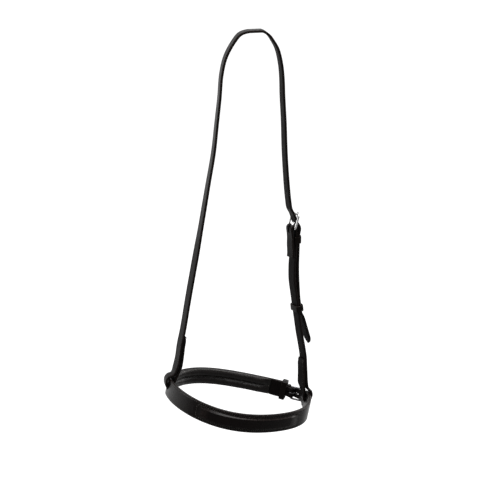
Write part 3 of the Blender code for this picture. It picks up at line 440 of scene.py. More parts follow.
def leather(name, colour, pale, rough, grain, gloss, pebble=1150.0, relief=0.16):
    """Waxed leather: pebbled grain, cloudy dye, burnished and rubbed edges, a matt flesh side; the
    same paler mix as the rubbed edges also paints a highlight on the nosepiece's raised shoulders.
    """
    look = Nodes(bpy.data.materials.new(name))
    clouds = look.texture("TexNoise", 34.0, Detail=4.0, Roughness=0.6)
    pores = look.texture("TexVoronoi", pebble, Smoothness=0.5, Randomness=1.0)
    fine = look.texture("TexNoise", 2.3 * pebble, Detail=3.0, Roughness=0.65)
    folds = look.texture("TexNoise", 0.16 * pebble, Detail=5.0, Roughness=0.6, Distortion=0.8)
    wear_and_highlight = look.attribute("wear_and_highlight")
    under = look.attribute("under")

    tone = look.mix(look.ramp(clouds, 0.0, 1.0, 0.3, 0.7), colour, tuple(0.72 * c for c in colour))
    deep = look.ramp(pores, 1.0, 0.0, 0.0, 0.8)
    tone = look.mix(look.sums("MULTIPLY", deep, 0.18), tone, pale)
    # Paler rubbed edges, and a painted highlight along the nosepiece's raised shoulders, both come
    # in through this one channel and mix the tone towards pale.
    wear_and_highlight_share = look.sums("MULTIPLY", wear_and_highlight, look.ramp(folds, 0.12, 0.85, 0.35, 0.65))
    tone = look.mix(wear_and_highlight_share, tone, pale)
    flesh = tuple(1.25 * c + 0.002 for c in colour)
    tone = look.mix(look.sums("MULTIPLY", under, 0.8), tone, flesh)

    sheen = look.ramp(folds, rough - 0.06, rough + 0.09, 0.3, 0.7)
    sheen = look.sums("SUBTRACT", sheen, look.sums("MULTIPLY", wear_and_highlight, 0.10))
    sheen = look.sums("ADD", sheen, look.sums("MULTIPLY", under, 0.26))
    look.fill({"Base Color": tone, "Roughness": sheen, "Specular IOR Level": gloss})

    height = look.sums("MULTIPLY", pores, -0.9)
    height = look.sums("ADD", height, look.sums("MULTIPLY", fine, 0.45))
    height = look.sums("ADD", height, look.sums("MULTIPLY", folds, 1.3))
    look.bump(height, grain, relief)
    return look.owner


def waxed_thread():
    """Dark waxed thread, its two plies twisted together."""
    look = Nodes(bpy.data.materials.new("waxed_thread"))
    fibres = look.texture("TexNoise", 2600.0, Detail=3.0, Roughness=0.7)
    patches = look.texture("TexNoise", 160.0, Detail=2.0)
    tone = look.mix(look.ramp(patches, 0.0, 1.0, 0.35, 0.65), (0.022, 0.018, 0.015),
                    (0.055, 0.045, 0.037))
    look.fill({"Base Color": tone, "Roughness": look.ramp(fibres, 0.36, 0.62)})
    look.bump(fibres, 0.6, 0.12)
    return look.owner


def steel(name, bright, dull):
    """Polished steel with faint rubbing marks."""
    look = Nodes(bpy.data.materials.new(name))
    smear = look.texture("TexNoise", 420.0, Detail=4.0, Roughness=0.6)
    marks = look.texture("TexNoise", 3200.0, Detail=2.0)
    tone = look.mix(look.ramp(smear, 0.0, 1.0, 0.35, 0.7), bright, dull)
    look.fill({"Base Color": tone, "Roughness": look.ramp(smear, 0.11, 0.27, 0.3, 0.7),
               "Metallic": 1.0})
    look.bump(marks, 0.12, 0.03)
    return look.owner


LOOKS = {
    "strap": leather(
        "strap_leather", (0.0024, 0.0017, 0.0017), (0.024, 0.016, 0.014), 0.33, 0.30, 0.07),
    "keeper": leather(
        "keeper_leather", (0.0028, 0.0018, 0.0016), (0.027, 0.018, 0.014), 0.30, 0.32, 0.09),
    "nose": leather("nosepiece_leather", (0.0026, 0.0015, 0.0014), (0.023, 0.014, 0.012), 0.27,
                    0.26, 0.13, 1000.0, 0.15),
    "lining": leather("soft_lining_leather", (0.0034, 0.0024, 0.0022), (0.034, 0.024, 0.020), 0.29,
                      0.70, 0.27, 1400.0, 0.26),
    "thread": waxed_thread(),
    "steel": steel("polished_steel", (0.84, 0.84, 0.83), (0.70, 0.70, 0.69)),
    # Painted shade: a darker copy of the polished steel, for the jaw buckle, which sits in shade on
    # the ring's inside; the real buckle is the same bright steel as the headstrap's.
    "jaw_steel": steel("shaded_steel", (0.26, 0.26, 0.27), (0.15, 0.15, 0.16)),
}


def skin(bm, rows, closed=False):
    """Join rows of vertices with faces, capped at both ends unless the rows close."""
    for lower, upper in zip(rows, rows[1:] + (rows[:1] if closed else [])):
        for i in range(len(lower)):
            j = (i + 1) % len(lower)
            bm.faces.new((lower[i], lower[j], upper[j], upper[i]))
    if not closed:
        bm.faces.new(rows[0])
        bm.faces.new(rows[-1])


def to_object(name, bm):
    bmesh.ops.recalc_face_normals(bm, faces=bm.faces)
    mesh = bpy.data.meshes.new(name)
    bm.to_mesh(mesh)
    bm.free()
    made = bpy.data.objects.new(name, mesh)
    bpy.context.collection.objects.link(made)
    return made


def smooth_faces(mesh):
    mesh.shade_smooth()
    mesh.set_sharp_from_angle(angle=SHARP_ANGLE)


def finish(name, bm, look, body, stands_for=()):
    """Turn a bmesh in world places into one named piece that rides on a body."""
    made = to_object(name, bm)
    smooth_faces(made.data)
    made.data.materials.append(LOOKS[look])
    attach(made, body)
    if stands_for:
        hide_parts(*stands_for)
    return made


def loft(rings, closed=False):
    """A solid through sections of (point, wear, under)."""
    bm = bmesh.new()
    wear_and_highlight = bm.verts.layers.float.new("wear_and_highlight")
    under = bm.verts.layers.float.new("under")
    rows = []
    for ring in rings:
        rows.append([])
        for point, wear_and_highlight_share, flesh in ring:
            vert = bm.verts.new(point)
            vert[wear_and_highlight] = wear_and_highlight_share
            vert[under] = flesh
            rows[-1].append(vert)
    skin(bm, rows, closed)
    return bm


def dent(value, centre, half, depth):
    """A smooth groove of this depth across a surface."""
    return -depth * (1.0 - between(0.0, half, abs(value - centre)))


def strap_profile(half, thick, crease=True, count=15):
    """Outline of a strap as (across, out, wear, under): rounded edges and creased lines."""
    h = thick / 2.0
    e = min(EDGE_EASE, 0.46 * half)
    f = 0.32 * thick
    line = half - CREASE_INSET
    creased = crease and half > 2.2 * CREASE_INSET
    tops = [((half - e) * (1.0 - 2.0 * k / (count - 1)), 0.0) for k in range(count)]
    if creased:
        tops += [(mark + CREASE_HALF * k / 2.0, 0.25 if abs(k) == 2 else 0.0)
                 for mark in (line, -line) for k in range(-2, 3)]
    out = []
    for w, wear_and_highlight_share in sorted(tops, key=lambda spot: -spot[0]):
        if not out or out[-1][0] - w > 0.03 * e:
            drop = dent(abs(w), line, CREASE_HALF, CREASE_DEPTH) if creased else 0.0
            out.append((w, h + drop, wear_and_highlight_share, 0.0))
    for side in (1.0, -1.0):
        if side < 0.0:
            out += [(w * (half - e), -h, 0.0, 1.0) for w in (-1.0, -0.5, 0.0, 0.5, 1.0)]
        for k in range(1, 8):
            angle = math.pi * k / 8.0
            flat = h - f if angle < math.pi / 2 else f - h
            n = side * (flat + f * math.cos(angle))
            top = between(-0.2 * h, 0.9 * h, n)
            out.append((-side * (half - e + e * math.sin(angle)), n,
                        math.sin(angle) * (0.35 + 0.65 * top), 0.5 * (1.0 - top)))
    return out


def strap(node, points, body, thick=STRAP_THICK, across=head_across, full=STRAP_WIDTH / 2.0,
          halves=None, tip=False, skived_start=True):
    """Sweep a strap along the points; its outer face looks away from the path's through side."""
    along = lengths(points)
    rings = []
    for i in pick_stations(points):
        half = halves[i] if halves else full
        left = along[-1] - along[i]
        if tip and left < TIP_LENGTH:
            half *= tip_width(left / TIP_LENGTH)
        deep = thick * (SKIVE_SHARE + (1.0 - SKIVE_SHARE) * between(
            0.0, SKIVE_LENGTH, along[i] if skived_start else left))
        wide = across(points[i])
        through = wide.cross(tangent_at(points, i)).normalized()
        shift = (thick - deep) / 2.0
        rings.append([
            (points[i] + wide * (w * (half / full)) - through * (n - shift), wear_and_highlight_share, flesh)
            for w, n, wear_and_highlight_share, flesh in strap_profile(full, deep)])
    return finish(node + "_leather", loft(rings), "strap", body, (node,))


def band(name, places, section, look, stands_for):
    """Loft sections of (up, out, wear, under) laid on the ring at the given places."""
    rings = []
    for s in places:
        base = RING.place(s, 0.0)
        way = RING.out_at(s)
        rings.append([
            (base + way * out + ROLL_UP * up, wear_and_highlight_share, flesh) for up, out, wear_and_highlight_share, flesh in section(s)])
    return finish(name, loft(rings), look, "noseband_ring", stands_for)


def cut(target, holes):
    """Cut round-ended holes: each is centre, axis, way of its length, half length, half width."""
    bm = bmesh.new()
    arc = 12
    for centre, axis, along, half_length, half_width in holes:
        side = axis.cross(along).normalized()
        reach = half_length - half_width
        ends = []
        for offset in (-CUT_DEPTH, CUT_DEPTH):
            ends.append([])
            for k in range(2 * arc):
                angle = -math.pi / 2.0 + math.pi * (k % arc) / (arc - 1)
                angle += math.pi if k >= arc else 0.0
                shift = reach if k < arc else -reach
                spot = along * (shift + half_width * math.cos(angle)) + side * (
                    half_width * math.sin(angle))
                ends[-1].append(bm.verts.new(centre + axis * offset + spot))
        skin(bm, ends)
    cutter = to_object(target.name + "_cutter", bm)
    change = target.modifiers.new("holes", "BOOLEAN")
    change.operation = "DIFFERENCE"
    change.solver = "EXACT"
    change.object = cutter
    bpy.context.view_layer.update()
    shaped = target.evaluated_get(bpy.context.evaluated_depsgraph_get())
    mesh = bpy.data.meshes.new_from_object(shaped)
    target.modifiers.clear()
    target.data = mesh
    smooth_faces(mesh)
    bpy.data.objects.remove(cutter, do_unlink=True)


def rounded_loop(half, low, high, corner, per_corner=9, dome=0.0, crown=16):
    """Closed outline (across, out, normal across, normal out) of a rounded rectangle."""
    corner = min(corner, 0.48 * (high - low), 0.48 * half)
    out = []
    for cx, cy, start in (
        (half - corner, high - corner, 0.0), (-half + corner, high - corner, 0.5),
        (-half + corner, low + corner, 1.0), (half - corner, low + corner, 1.5),
    ):
        for k in range(per_corner + 1):
            angle = math.pi * (start + 0.5 * k / per_corner)
            nx = math.cos(angle)
            ny = math.sin(angle)
            out.append((cx + corner * nx, cy + corner * ny, nx, ny))
        if start == 0.0:
            reach = half - corner
            for k in range(1, crown):
                share = 1.0 - 2.0 * k / crown
                bulge = dome * (1.0 - share * share)
                lean = Vector((2.0 * dome * share / reach, 1.0)).normalized()
                out.append((reach * share, high + bulge, lean.x, lean.y))
    return out


def wire_loop(node, ending, centre, across, out, outline, section, look, body):
    """Sweep a section round a closed outline; section points are outward, through, wear, under."""
    deep = across.cross(out).normalized()
    rings = []
    for x, y, nx, ny in outline:
        spot = centre + across * x + out * y
        normal = across * nx + out * ny
        rings.append([(spot + normal * n + deep * d, wear_and_highlight_share, flesh) for n, d, wear_and_highlight_share, flesh in section])
    finish(node + ending, loft(rings, closed=True), look, body, (node,))


def round_section(radius, count):
    angles = [2.0 * math.pi * k / count for k in range(count)]
    return [(radius * math.cos(angle), radius * math.sin(angle), 0.0, 0.0) for angle in angles]


def keeper(node, body, centre, across, out, half, low, high, room, thick, width, dome):
    """A leather loop round the straps, with a creased line along each edge of its outside."""
    room += thick / 2.0
    outline = rounded_loop(half + thick / 2.0, low - room, high + room, 1.3 * thick, dome=dome)
    section = []
    for w, n, wear_and_highlight_share, flesh in strap_profile(width / 2.0, thick, crease=False, count=17):
        drop = 0.0
        if n > 0.0:
            drop = dent(abs(w), width / 2.0 - KEEPER_CREASE_INSET, KEEPER_CREASE_HALF,
                        KEEPER_CREASE_DEPTH)
        section.append((n + drop, w, wear_and_highlight_share, flesh))
    wire_loop(node, "_leather", centre, across, out, outline, section, "keeper", body)


class Stitches:
    """Rows of thread: each stitch is a short rounded piece of thread that lies on the leather."""

    def __init__(self):
        self.bm = bmesh.new()

    def stitch(self, point, along, normal):
        side = normal.cross(along).normalized()
        along = (along * math.cos(STITCH_SLANT) + side * math.sin(STITCH_SLANT)).normalized()
        side = normal.cross(along).normalized()
        rows = []
        for way, wide, sink in STITCH_SHARES:
            centre = point + along * (STITCH_LENGTH / 2.0 * way) + normal * (
                sink * THREAD_RADIUS - THREAD_SINK)
            rows.append([
                self.bm.verts.new(centre + side * a + normal * b)
                for a, b, _, _ in round_section(THREAD_RADIUS * wide, 8)])
        skin(self.bm, rows)

    def on_strap(self, points, low, high):
        """Two rows along a head strap's outer face, between two lengths."""
        along = lengths(points)
        count = int((high - low) / STITCH_PITCH)
        for k in range(count + 1):
            i = nearest_index(along, low + (high - low) * k / max(1, count))
            way = tangent_at(points, i)
            wide = head_across(points[i])
            through = wide.cross(way).normalized()
            for row in (-1.0, 1.0):
                spot = points[i] + wide * (row * (STRAP_WIDTH / 2.0 - CREASE_INSET))
                self.stitch(spot - through * (STRAP_THICK / 2.0 - CREASE_DEPTH), way, -through)

    def on_ring(self, start, end, up, level, facing, pitch=STITCH_PITCH):
        """A row along the ring at this height; level gives how far out the surface is."""
        count = int((end - start) / pitch)
        for k in range(count + 1):
            s = start + (end - start) * k / count
            low = RING.place(s - 0.5 * pitch, level(s, up), up)
            high = RING.place(s + 0.5 * pitch, level(s, up), up)
            self.stitch((low + high) / 2.0, (high - low).normalized(), RING.out_at(s) * facing)

    def done(self, name, body):
        return finish(name, self.bm, "thread", body)


class Buckle:
    """A single-bar buckle, from its heel bar to its toe, on a strap whose outside looks out."""

    def __init__(self, name, heel, toe, out, across, bar, strap_half, look):
        self.name = name
        self.look = look
        self.heel = heel
        self.toe = toe
        self.across = across
        self.bar = bar
        self.out = out
        self.ahead = across.cross(out).normalized()
        if self.ahead.dot(toe - heel) < 0.0:
            self.ahead = -self.ahead
        self.plane = (toe - heel).normalized()
        self.half = strap_half + FRAME_SIDE_GAP + bar
        self.eye = bar + EYE_GAP + TONGUE_RADIUS

    def spot(self, ahead, out):
        return self.heel + self.ahead * ahead + self.out * out

    def round_bar(self, radius, angle):
        return self.spot(radius * math.cos(angle), radius * math.sin(angle))

    def frame(self):
        outline = rounded_loop(self.half, 0.0, (self.toe - self.heel).length, FRAME_CORNER, 12)
        wire_loop(self.name + "_buckle_frame", "_steel", self.heel, self.across, self.plane,
                  outline, round_section(self.bar, 24), self.look, self.name + "_buckle")

    def shaft(self, way):
        """A point on the tongue's straight part, this far from its eye."""
        return self.spot(
            self.eye * math.cos(EYE_LEAVE) + way * math.cos(TONGUE_RISE),
            self.eye * math.sin(EYE_LEAVE) + way * math.sin(TONGUE_RISE))

    def tongue(self, billet_top):
        eye = [self.round_bar(self.eye, EYE_LEAVE - EYE_TURN * (1.0 - k / 10.0))
               for k in range(11)]
        normal = self.plane.cross(self.across).normalized()
        if normal.dot(self.out) < 0.0:
            normal = -normal
        over = self.bar + ROCK_GAP + TONGUE_RADIUS
        above_toe = self.toe + normal * over
        end = self.toe + normal * (over * 0.97) + self.plane * (2.6 * self.bar)
        rise = self.shaft(billet_top)
        middle = rise.lerp(above_toe, 0.42) + normal * (0.12 * over)
        path = smooth_path(eye + [rise, middle, above_toe, end])
        along = lengths(path)
        rings = []
        for i in pick_stations(path, TONGUE_STEP, TONGUE_BEND):
            share = min(1.0, (along[-1] - along[i]) / (1.5 * TONGUE_RADIUS))
            size = TONGUE_RADIUS * (0.35 + 0.65 * math.sqrt(1.0 - (1.0 - share) ** 2))
            through = self.across.cross(tangent_at(path, i)).normalized()
            rings.append([
                (path[i] + self.across * (a * size) + through * (b * size), 0.0, 0.0)
                for a, b, _, _ in round_section(1.0, 16)])
        node = self.name + "_buckle_tongue"
        finish(node + "_steel", loft(rings), self.look, self.name + "_tongue", (node,))

    def tongue_slot(self):
        centre = self.heel + self.ahead * (0.5 * self.bar)
        length = self.bar + EYE_GAP + 2.0 * TONGUE_RADIUS + STRAP_THICK
        return [(centre, self.out, self.ahead, length, TONGUE_SLOT_HALF)]

    def crossing(self, path):
        """Index of the path's point that the tongue's straight part goes through."""
        base = self.shaft(0.0)
        ray = (self.shaft(STRAP_WIDTH) - base).normalized()

        def off(i):
            gap = path[i] - base
            side = gap.dot(self.across)
            gap = gap - self.across * side
            way = gap.dot(ray)
            near = way > 0.0 and abs(side) < STRAP_WIDTH
            return (gap - ray * way).length if near else STRAP_WIDTH

        return min(range(len(path)), key=off)

    def billet_holes(self, path, pitch, numbers, across):
        """Oval holes along a billet, spaced from the one that the tongue uses."""
        along = lengths(path)
        used = along[self.crossing(path)]
        holes = []
        for number in numbers:
            i = nearest_index(along, used + number * pitch)
            tangent = tangent_at(path, i)
            axis = across(path[i]).cross(tangent).normalized()
            holes.append((path[i], axis, tangent, HOLE_HALF_LENGTH, HOLE_HALF_WIDTH))
        return holes


def loop_spot(side, out, up):
    """A point beside the slot on this side, measured out of the ring and up the band."""
    return RING_CENTRE + ROLL_ALONG * (side * RING_HALF_WIDTH) + ROLL_ALONG * side * out + (
        ROLL_UP * up)


def flare(side, shares):
    return [loop_spot(side, o * LOOP_RADIUS, h * BAND_HEIGHT) for o, h in shares]


def loop_arc(side):
    points = []
    for k in range(7):
        angle = -math.pi * k / 6.0
        o = math.cos(angle)
        o *= LOOP_OUT_REACH if o > 0.0 else LOOP_IN_REACH
        points.append(loop_spot(side, o, LOOP_RADIUS + LOOP_RADIUS * math.sin(angle)))
    return points


def leg(foot, shares):
    return [Vector((foot.x * across, 0.0, foot.z * down)) for across, down in shares]


def inside_climb(side, spine, top, layer):
    start = spine[-1].z
    o, h = LOOP_INSIDE_SHARE
    return [loop_spot(side, -o * LOOP_IN_REACH, h * BAND_HEIGHT)] + [
        beside(spine, start + (top - start) * share, layer * stand)
        for share, stand in CLIMB_SHARES]


def sew_loop(sewing, path, low, high, end):
    """Sew both runs of a strap loop, from above the band to the height of its turned-back end."""
    along = lengths(path)
    bottom = min(range(low, high), key=lambda i: path[i].z)
    foot = path[bottom].z + SEAM_LOW_SHARE * BAND_HEIGHT
    down, up = ([along[height_index(path, z, *run)] for z in (foot, path[end].z)]
                for run in ((low, bottom), (bottom, high)))
    sewing.on_strap(path, down[1] + SEAM_END, down[0])
    sewing.on_strap(path, up[0], up[1] - SEAM_END)


def headstrap_and_cheek():
    half = STRAP_WIDTH / 2.0
    near_flare = flare(1.0, NEAR_FLARE_SHARES)
    off_flare = flare(-1.0, OFF_FLARE_SHARES)
    near_foot = near_flare[0]
    off_foot = off_flare[0]

    # the near strap's line, the buckle at its top and the chape folded round the heel bar
    cheek = leg(near_foot, CHEEK_SHARES)
    spine = smooth_path(cheek + [near_foot], after=near_flare[1])
    heel_z = near_foot.z * HEEL_SHARE
    fold = BAR_RADIUS + FIT_GAP + STRAP_THICK / 2.0
    heel = beside(spine, heel_z, -fold)
    across = head_across(spine[0])
    out = (beside(spine, heel_z, fold) - heel).normalized()
    ahead = across.cross(out).normalized()
    if ahead.z < 0.0:
        ahead = -ahead
    toe = heel + ahead * (FRAME_REACH * math.cos(FRAME_LEAN)) + out * (
        FRAME_REACH * math.sin(FRAME_LEAN))
    buckle = Buckle("headstrap", heel, toe, out, across, BAR_RADIUS, half, "steel")

    keeper_layer = STRAP_THICK + KEEPER_THICK + 3.4 * FIT_GAP
    keeper_low = heel_z - KEEPER_DROP - KEEPER_WIDTH / 2.0
    keeper_high = heel_z - KEEPER_DROP + KEEPER_WIDTH / 2.0
    turnback_z = heel_z - CHAPE_TURNBACK
    chape = [beside(spine, height, -stand) for height, stand in (
        (turnback_z, LAYER + FIT_GAP), (turnback_z * 0.75 + keeper_low * 0.25, LAYER * 1.06),
        (keeper_low - KEEPER_WIDTH * 0.3, keeper_layer), (keeper_low, keeper_layer * 1.03),
        (keeper_high, keeper_layer * 1.05),
    )]
    for k in range(7):
        angle = math.pi * (1.0 - k / 6.0)
        chape.append(heel + out * (fold * math.cos(angle)) + ahead * (fold * math.sin(angle)))
    climb = inside_climb(1.0, spine, near_foot.z + NEAR_TURNBACK, -LAYER)
    path = smooth_path(chape + cheek[1:] + near_flare + loop_arc(1.0) + climb)
    cheek_strap = strap("cheek_strap", path, "head_straps", skived_start=False)
    cut(cheek_strap, buckle.tongue_slot())

    sewing = Stitches()
    along = lengths(path)
    top = max(range(len(path)), key=lambda i: path[i].z)
    first, last = (along[height_index(path, z, top)] for z in (keeper_low, turnback_z))
    sewing.on_strap(path, SEAM_END, first - KEEPER_WIDTH * 0.25)
    sewing.on_strap(path, first + SEAM_INSET, last - SEAM_END)
    sew_loop(sewing, path, top, len(path), len(path) - 1)

    # the headstrap, from the off side's turned-back end over the crown to the billet's point
    off_leg = leg(off_foot, OFF_LEG_SHARES)
    left_end = Vector((-CROWN_FLAT, 0.0, STRAP_THICK / 2.0))
    right_end = Vector((CROWN_FLAT, 0.0, STRAP_THICK / 2.0))
    off_spine = smooth_path([left_end] + off_leg + [off_foot], before=right_end, after=off_flare[1])
    off_climb = inside_climb(-1.0, off_spine, off_foot.z + OFF_TURNBACK, LAYER)
    off_path = smooth_path(
        [left_end] + off_leg + off_flare + loop_arc(-1.0) + off_climb, before=right_end)

    toe_ahead = (toe - heel).dot(ahead)
    under_toe = (toe - heel).dot(out) - (
        BAR_RADIUS + ROCK_GAP + STRAP_THICK / 2.0) / math.cos(FRAME_LEAN)
    over_heel = fold + LAYER + HEEL_CLEARANCE
    under_toe -= BILLET_SAG
    before_toe = under_toe - (over_heel - under_toe) * 0.62
    runner_z = heel_z - RUNNER_DROP
    billet = [
        buckle.spot(toe_ahead * 1.50, before_toe), buckle.spot(toe_ahead, under_toe),
        buckle.spot(toe_ahead * 0.5, (under_toe + over_heel) * 0.5 - BILLET_SAG),
        buckle.spot(0.0, over_heel),
    ]
    for height, stand in (
        (keeper_high, 0.0), (keeper_low, 0.0),
        (heel_z * 0.5 + runner_z * 0.5, BILLET_BULGE_SHARE),
        (runner_z + RUNNER_WIDTH * 2.8, RUNNER_BULGE_SHARE), (runner_z + RUNNER_WIDTH * 1.3, 0.0),
        (runner_z, 0.0), (runner_z - RUNNER_WIDTH * 0.8, 0.0),
        *((runner_z - RING_DROP * down, stand) for down, stand in TAIL_SHARES),
    ):
        billet.append(beside(spine, height, LAYER + stand * STRAP_THICK))
    near_path = smooth_path(
        [right_end] + leg(near_foot, NEAR_LEG_SHARES) + billet, before=left_end)
    path = list(reversed(off_path)) + near_path
    headstrap = strap("headstrap", path, "head_straps", tip=True)
    cut(headstrap, buckle.billet_holes(path, HOLE_PITCH, range(-2, 6), head_across))
    sew_loop(sewing, path, 0, len(off_path), 0)
    sewing.done("head_straps_stitching", "head_straps")

    buckle.frame()
    buckle.tongue(4.4 * STRAP_THICK)

    for node, body, z, gap, room, thick, width, dome in (
        ("headstrap_fixed_keeper", "head_straps", heel_z - KEEPER_DROP, FIT_GAP * 1.5,
         FIT_GAP * 1.6, KEEPER_THICK, KEEPER_WIDTH, KEEPER_DOME),
        ("headstrap_runner", "headstrap_runner", runner_z, SLIDE_GAP, SLIDE_GAP, RUNNER_THICK,
         RUNNER_WIDTH, 0.3 * KEEPER_DOME),
    ):
        middle = beside(spine, z, 0.0)
        face = (beside(spine, z, LAYER) - middle).normalized()
        keeper(node, body, middle, head_across(middle), face, half + gap, 0.0, LAYER,
               STRAP_THICK / 2.0 + room, thick, width, dome)


def nose_half_height(s):
    slim = BILLET_WIDTH / 2.0
    return slim + (BAND_HEIGHT / 2.0 - slim) * between(-(TOE_PLACE - NECK_LEAD), -NECK_START, s)


def raised_share(s):
    return 1.0 - between(RAISED_HALF_LENGTH - RAISED_RAMP, RAISED_HALF_LENGTH, abs(s - MIDDLE))


def raised_profile(up):
    return 1.0 - between(RAISED_EDGE - RAISED_SHOULDER, RAISED_EDGE, abs(up))


def pucker(s, up, seam, reach=PUCKER_REACH):
    """Little hollows that the stitches of a seam pull into soft leather."""
    near = max(0.0, 1.0 - abs(up - seam) / reach)
    wave = 0.5 + 0.5 * math.cos(2.0 * math.pi * s / STITCH_PITCH)
    drift = noise.noise(Vector((s * 90.0, seam * 300.0, up * 60.0)))
    return -PUCKER_DEPTH * near * near * wave * (1.0 + 0.6 * drift)


def front_level(s, up):
    """How far out the nosepiece's outer face is here."""
    raised = raised_share(s) * raised_profile(up)
    level = FRONT_TOP + RAISED_HEIGHT * raised
    if abs(s - MIDDLE) < RAISED_HALF_LENGTH + 2.0 * MM:
        level += dent(abs(up), FOOT_ROW, FOOT_CREASE, CREASE_DEPTH * 1.3)
        level += FRONT_WAVE * raised * noise.noise(Vector((s * 130.0, up * 130.0, 3.1)))
    if s > -SLOT_HALF_LENGTH:
        level += dent(abs(up), EDGE_ROW, CREASE_HALF, CREASE_DEPTH)
    return level


def nose_lining_level(s, up):
    """How far out the inner face of the nosepiece's lining is here: below zero."""
    share = min(1.0, abs(up) / (nose_half_height(s) - NOSE_LINING_INSET))
    grow = 1.0 - between(NOSE_PAD_END - PAD_RAMP, NOSE_PAD_END, abs(s - MIDDLE))
    reach = NOSE_PAD_HALF + FIT_GAP + LINING_THICK
    full = (NOSE_PAD_DEPTH + FIT_GAP + LINING_THICK) * math.sqrt(
        max(0.0, 1.0 - (share * NOSE_PAD_HALF / reach) ** 2))
    deep = LINING_THICK + grow * max(0.0, full - LINING_THICK)
    deep += dent(abs(up), EDGE_ROW, NOSE_SEAM_HALF, NOSE_SEAM_DEPTH * (0.25 + 0.75 * grow))
    deep += pucker(s, abs(up), EDGE_ROW) * (0.35 + 0.65 * grow)
    deep += NOSE_LINING_WAVE * grow * noise.noise(Vector((s * 70.0, up * 110.0, 7.7)))
    return -FRONT_BASE - max(0.5 * LINING_THICK, deep)


def jaw_lining_level(s, up):
    """How far out the inner face of the jaw lining is here: two rolls and a sewn channel."""
    grow = between(ROLL_FIRST, ROLL_FIRST + PAD_RAMP, -s) * (
        1.0 - between(ROLL_LAST - PAD_RAMP, ROLL_LAST, -s))
    extra = FIT_GAP + LINING_THICK
    share = min(1.0, abs(abs(up) - ROLL_MID) / (ROLL_HALF + extra))
    full = max((ROLL_DEPTH + extra) * math.sqrt(1.0 - share * share), LINING_THICK)
    hollow = CHANNEL_SHARE * (ROLL_DEPTH + extra)
    full = max(full, hollow + (full - hollow) * between(0.0, 2.2 * ROLL_CHANNEL, abs(up)))
    deep = LINING_THICK + grow * (full - LINING_THICK)
    deep += pucker(s, abs(up), 0.0, CHANNEL_REACH) * (0.3 + 2.2 * grow)
    deep += pucker(s + 0.5 * STITCH_PITCH, abs(up), JAW_EDGE_ROW) * (0.3 + 0.7 * grow)
    deep += JAW_LINING_WAVE * grow * noise.noise(Vector((s * 70.0, up * 150.0, 1.3)))
    return JAW_BASE - max(0.5 * LINING_THICK, deep)


def padded_lining(name, places, half_at, base, shares, level, ease, stands_for):
    """A lining whose flat back lies at the base; ease is where its edges thin, and by how much."""
    def section(s):
        half = half_at(s)
        out = [(share * half, base, 0.0, 0.0) for share in FLAT_SHARES]
        for share in shares:
            up = share * half
            thin = 1.0 - ease[1] * between(ease[0], 1.0, abs(share))
            out.append((up, base + (level(s, up) - base) * thin, 0.0, 0.0))
        return out

    return band(name, places, section, "lining", stands_for)


def nosepiece():
    tail_length = TIP_LENGTH * 0.6
    ups = [share * RAISED_EDGE for share in (-0.55, -0.28, 0.0, 0.28, 0.55)]
    for sign in (-1.0, 1.0):
        ups += [sign * (RAISED_EDGE - RAISED_SHOULDER * k / 8.0) for k in range(9)]
        ups += [sign * (FOOT_ROW + FOOT_CREASE * k / 3.0) for k in range(-2, 4)]
        ups += [sign * (EDGE_ROW + CREASE_HALF * k / 2.0) for k in range(-2, 2)]
    ups = sorted(set(round(up, 6) for up in ups))

    def front_section(s):
        half = nose_half_height(s)
        tail = RING.front + OFF_SIDE_LAP - s
        tip = s + BILLET_LENGTH
        if tail < tail_length:
            half *= math.sqrt(max(0.0, 1.0 - (1.0 - tail / tail_length) ** 2)) * 0.85 + 0.15
        if tip < TIP_LENGTH:
            half *= tip_width(tip / TIP_LENGTH)
        scale = half / (BAND_HEIGHT / 2.0)
        squeeze = min(EDGE_EASE, 0.3 * half)
        out = []
        for up in ups:
            lift = raised_share(s) * raised_profile(up)
            # Painted highlight: the raised part's shoulders turn paler where their slope is
            # steepest, where the light from above catches them; it goes through the same channel as
            # the rubbed edges.
            wear_and_highlight_share = 0.0
            if 0.0 < lift < 1.0 and raised_share(s) > 0.2:
                wear_and_highlight_share = 0.5 * math.sin(math.pi * lift)
            out.append((up * scale, front_level(s, up), wear_and_highlight_share, 0.0))
        for turn in (0.0, 1.0):
            side = (half - squeeze) * (1.0 - 2.0 * turn)
            if turn:
                out += [(share * (half - squeeze), FRONT_BASE, 0.0, 1.0)
                        for share in (0.8, 0.4, 0.0, -0.4, -0.8)]
            for k in range(9):
                angle = math.pi * (turn + k / 8.0)
                out.append((side + squeeze * math.sin(angle),
                            FRONT_MID + FRONT_THICK / 2.0 * math.cos(angle),
                            0.9 * abs(math.sin(angle)), 0.5 * abs(turn - k / 8.0)))
        return out

    grid = steps(-JAW_START, RING.front + JAW_START - FIT_GAP, GRID_STEP)
    tip_places = [-BILLET_LENGTH + TIP_LENGTH * k / 12.0 for k in range(12)]
    lap = RING.front + OFF_SIDE_LAP
    tail_places = [lap - tail_length * (1.0 - k / 9.0) ** 1.6 for k in range(10)]
    near = steps(-BILLET_LENGTH + TIP_LENGTH, grid[0], FINE_STEP)
    off = steps(grid[-1], tail_places[0], FINE_STEP)
    front = band("nosepiece_leather", tip_places + near[:-1] + grid + off[1:-1] + tail_places,
                 front_section, "nose", ("nosepiece_front", "nosepiece_filler"))
    shares = [math.cos(math.pi * k / 44) for k in range(45)]
    lining = padded_lining(
        "nosepiece_padded_lining", steps(grid[0], grid[-1], PUCKER_STEP),
        lambda s: nose_half_height(s) - NOSE_LINING_INSET, -FRONT_BASE, shares, nose_lining_level,
        (0.93, 0.5), ("nosepiece_lining", "nosepiece_padding"))
    slots = [(RING.place(place, 0.0, SLOT_RISE), RING.out_at(place), FLAT_NORMAL,
              SLOT_OPEN_LENGTH, SLOT_OPEN_HEIGHT) for place in (0.0, RING.front)]
    cut(front, slots)
    cut(lining, slots)
    return front


def jaw_half_width(place):
    slim = BILLET_WIDTH / 2.0
    start = JAW_KEEPER_LAST + FIT_GAP
    return slim + (JAW_WIDTH / 2.0 - slim) * between(start, start + JAW_RUNNER_WIDTH, place)


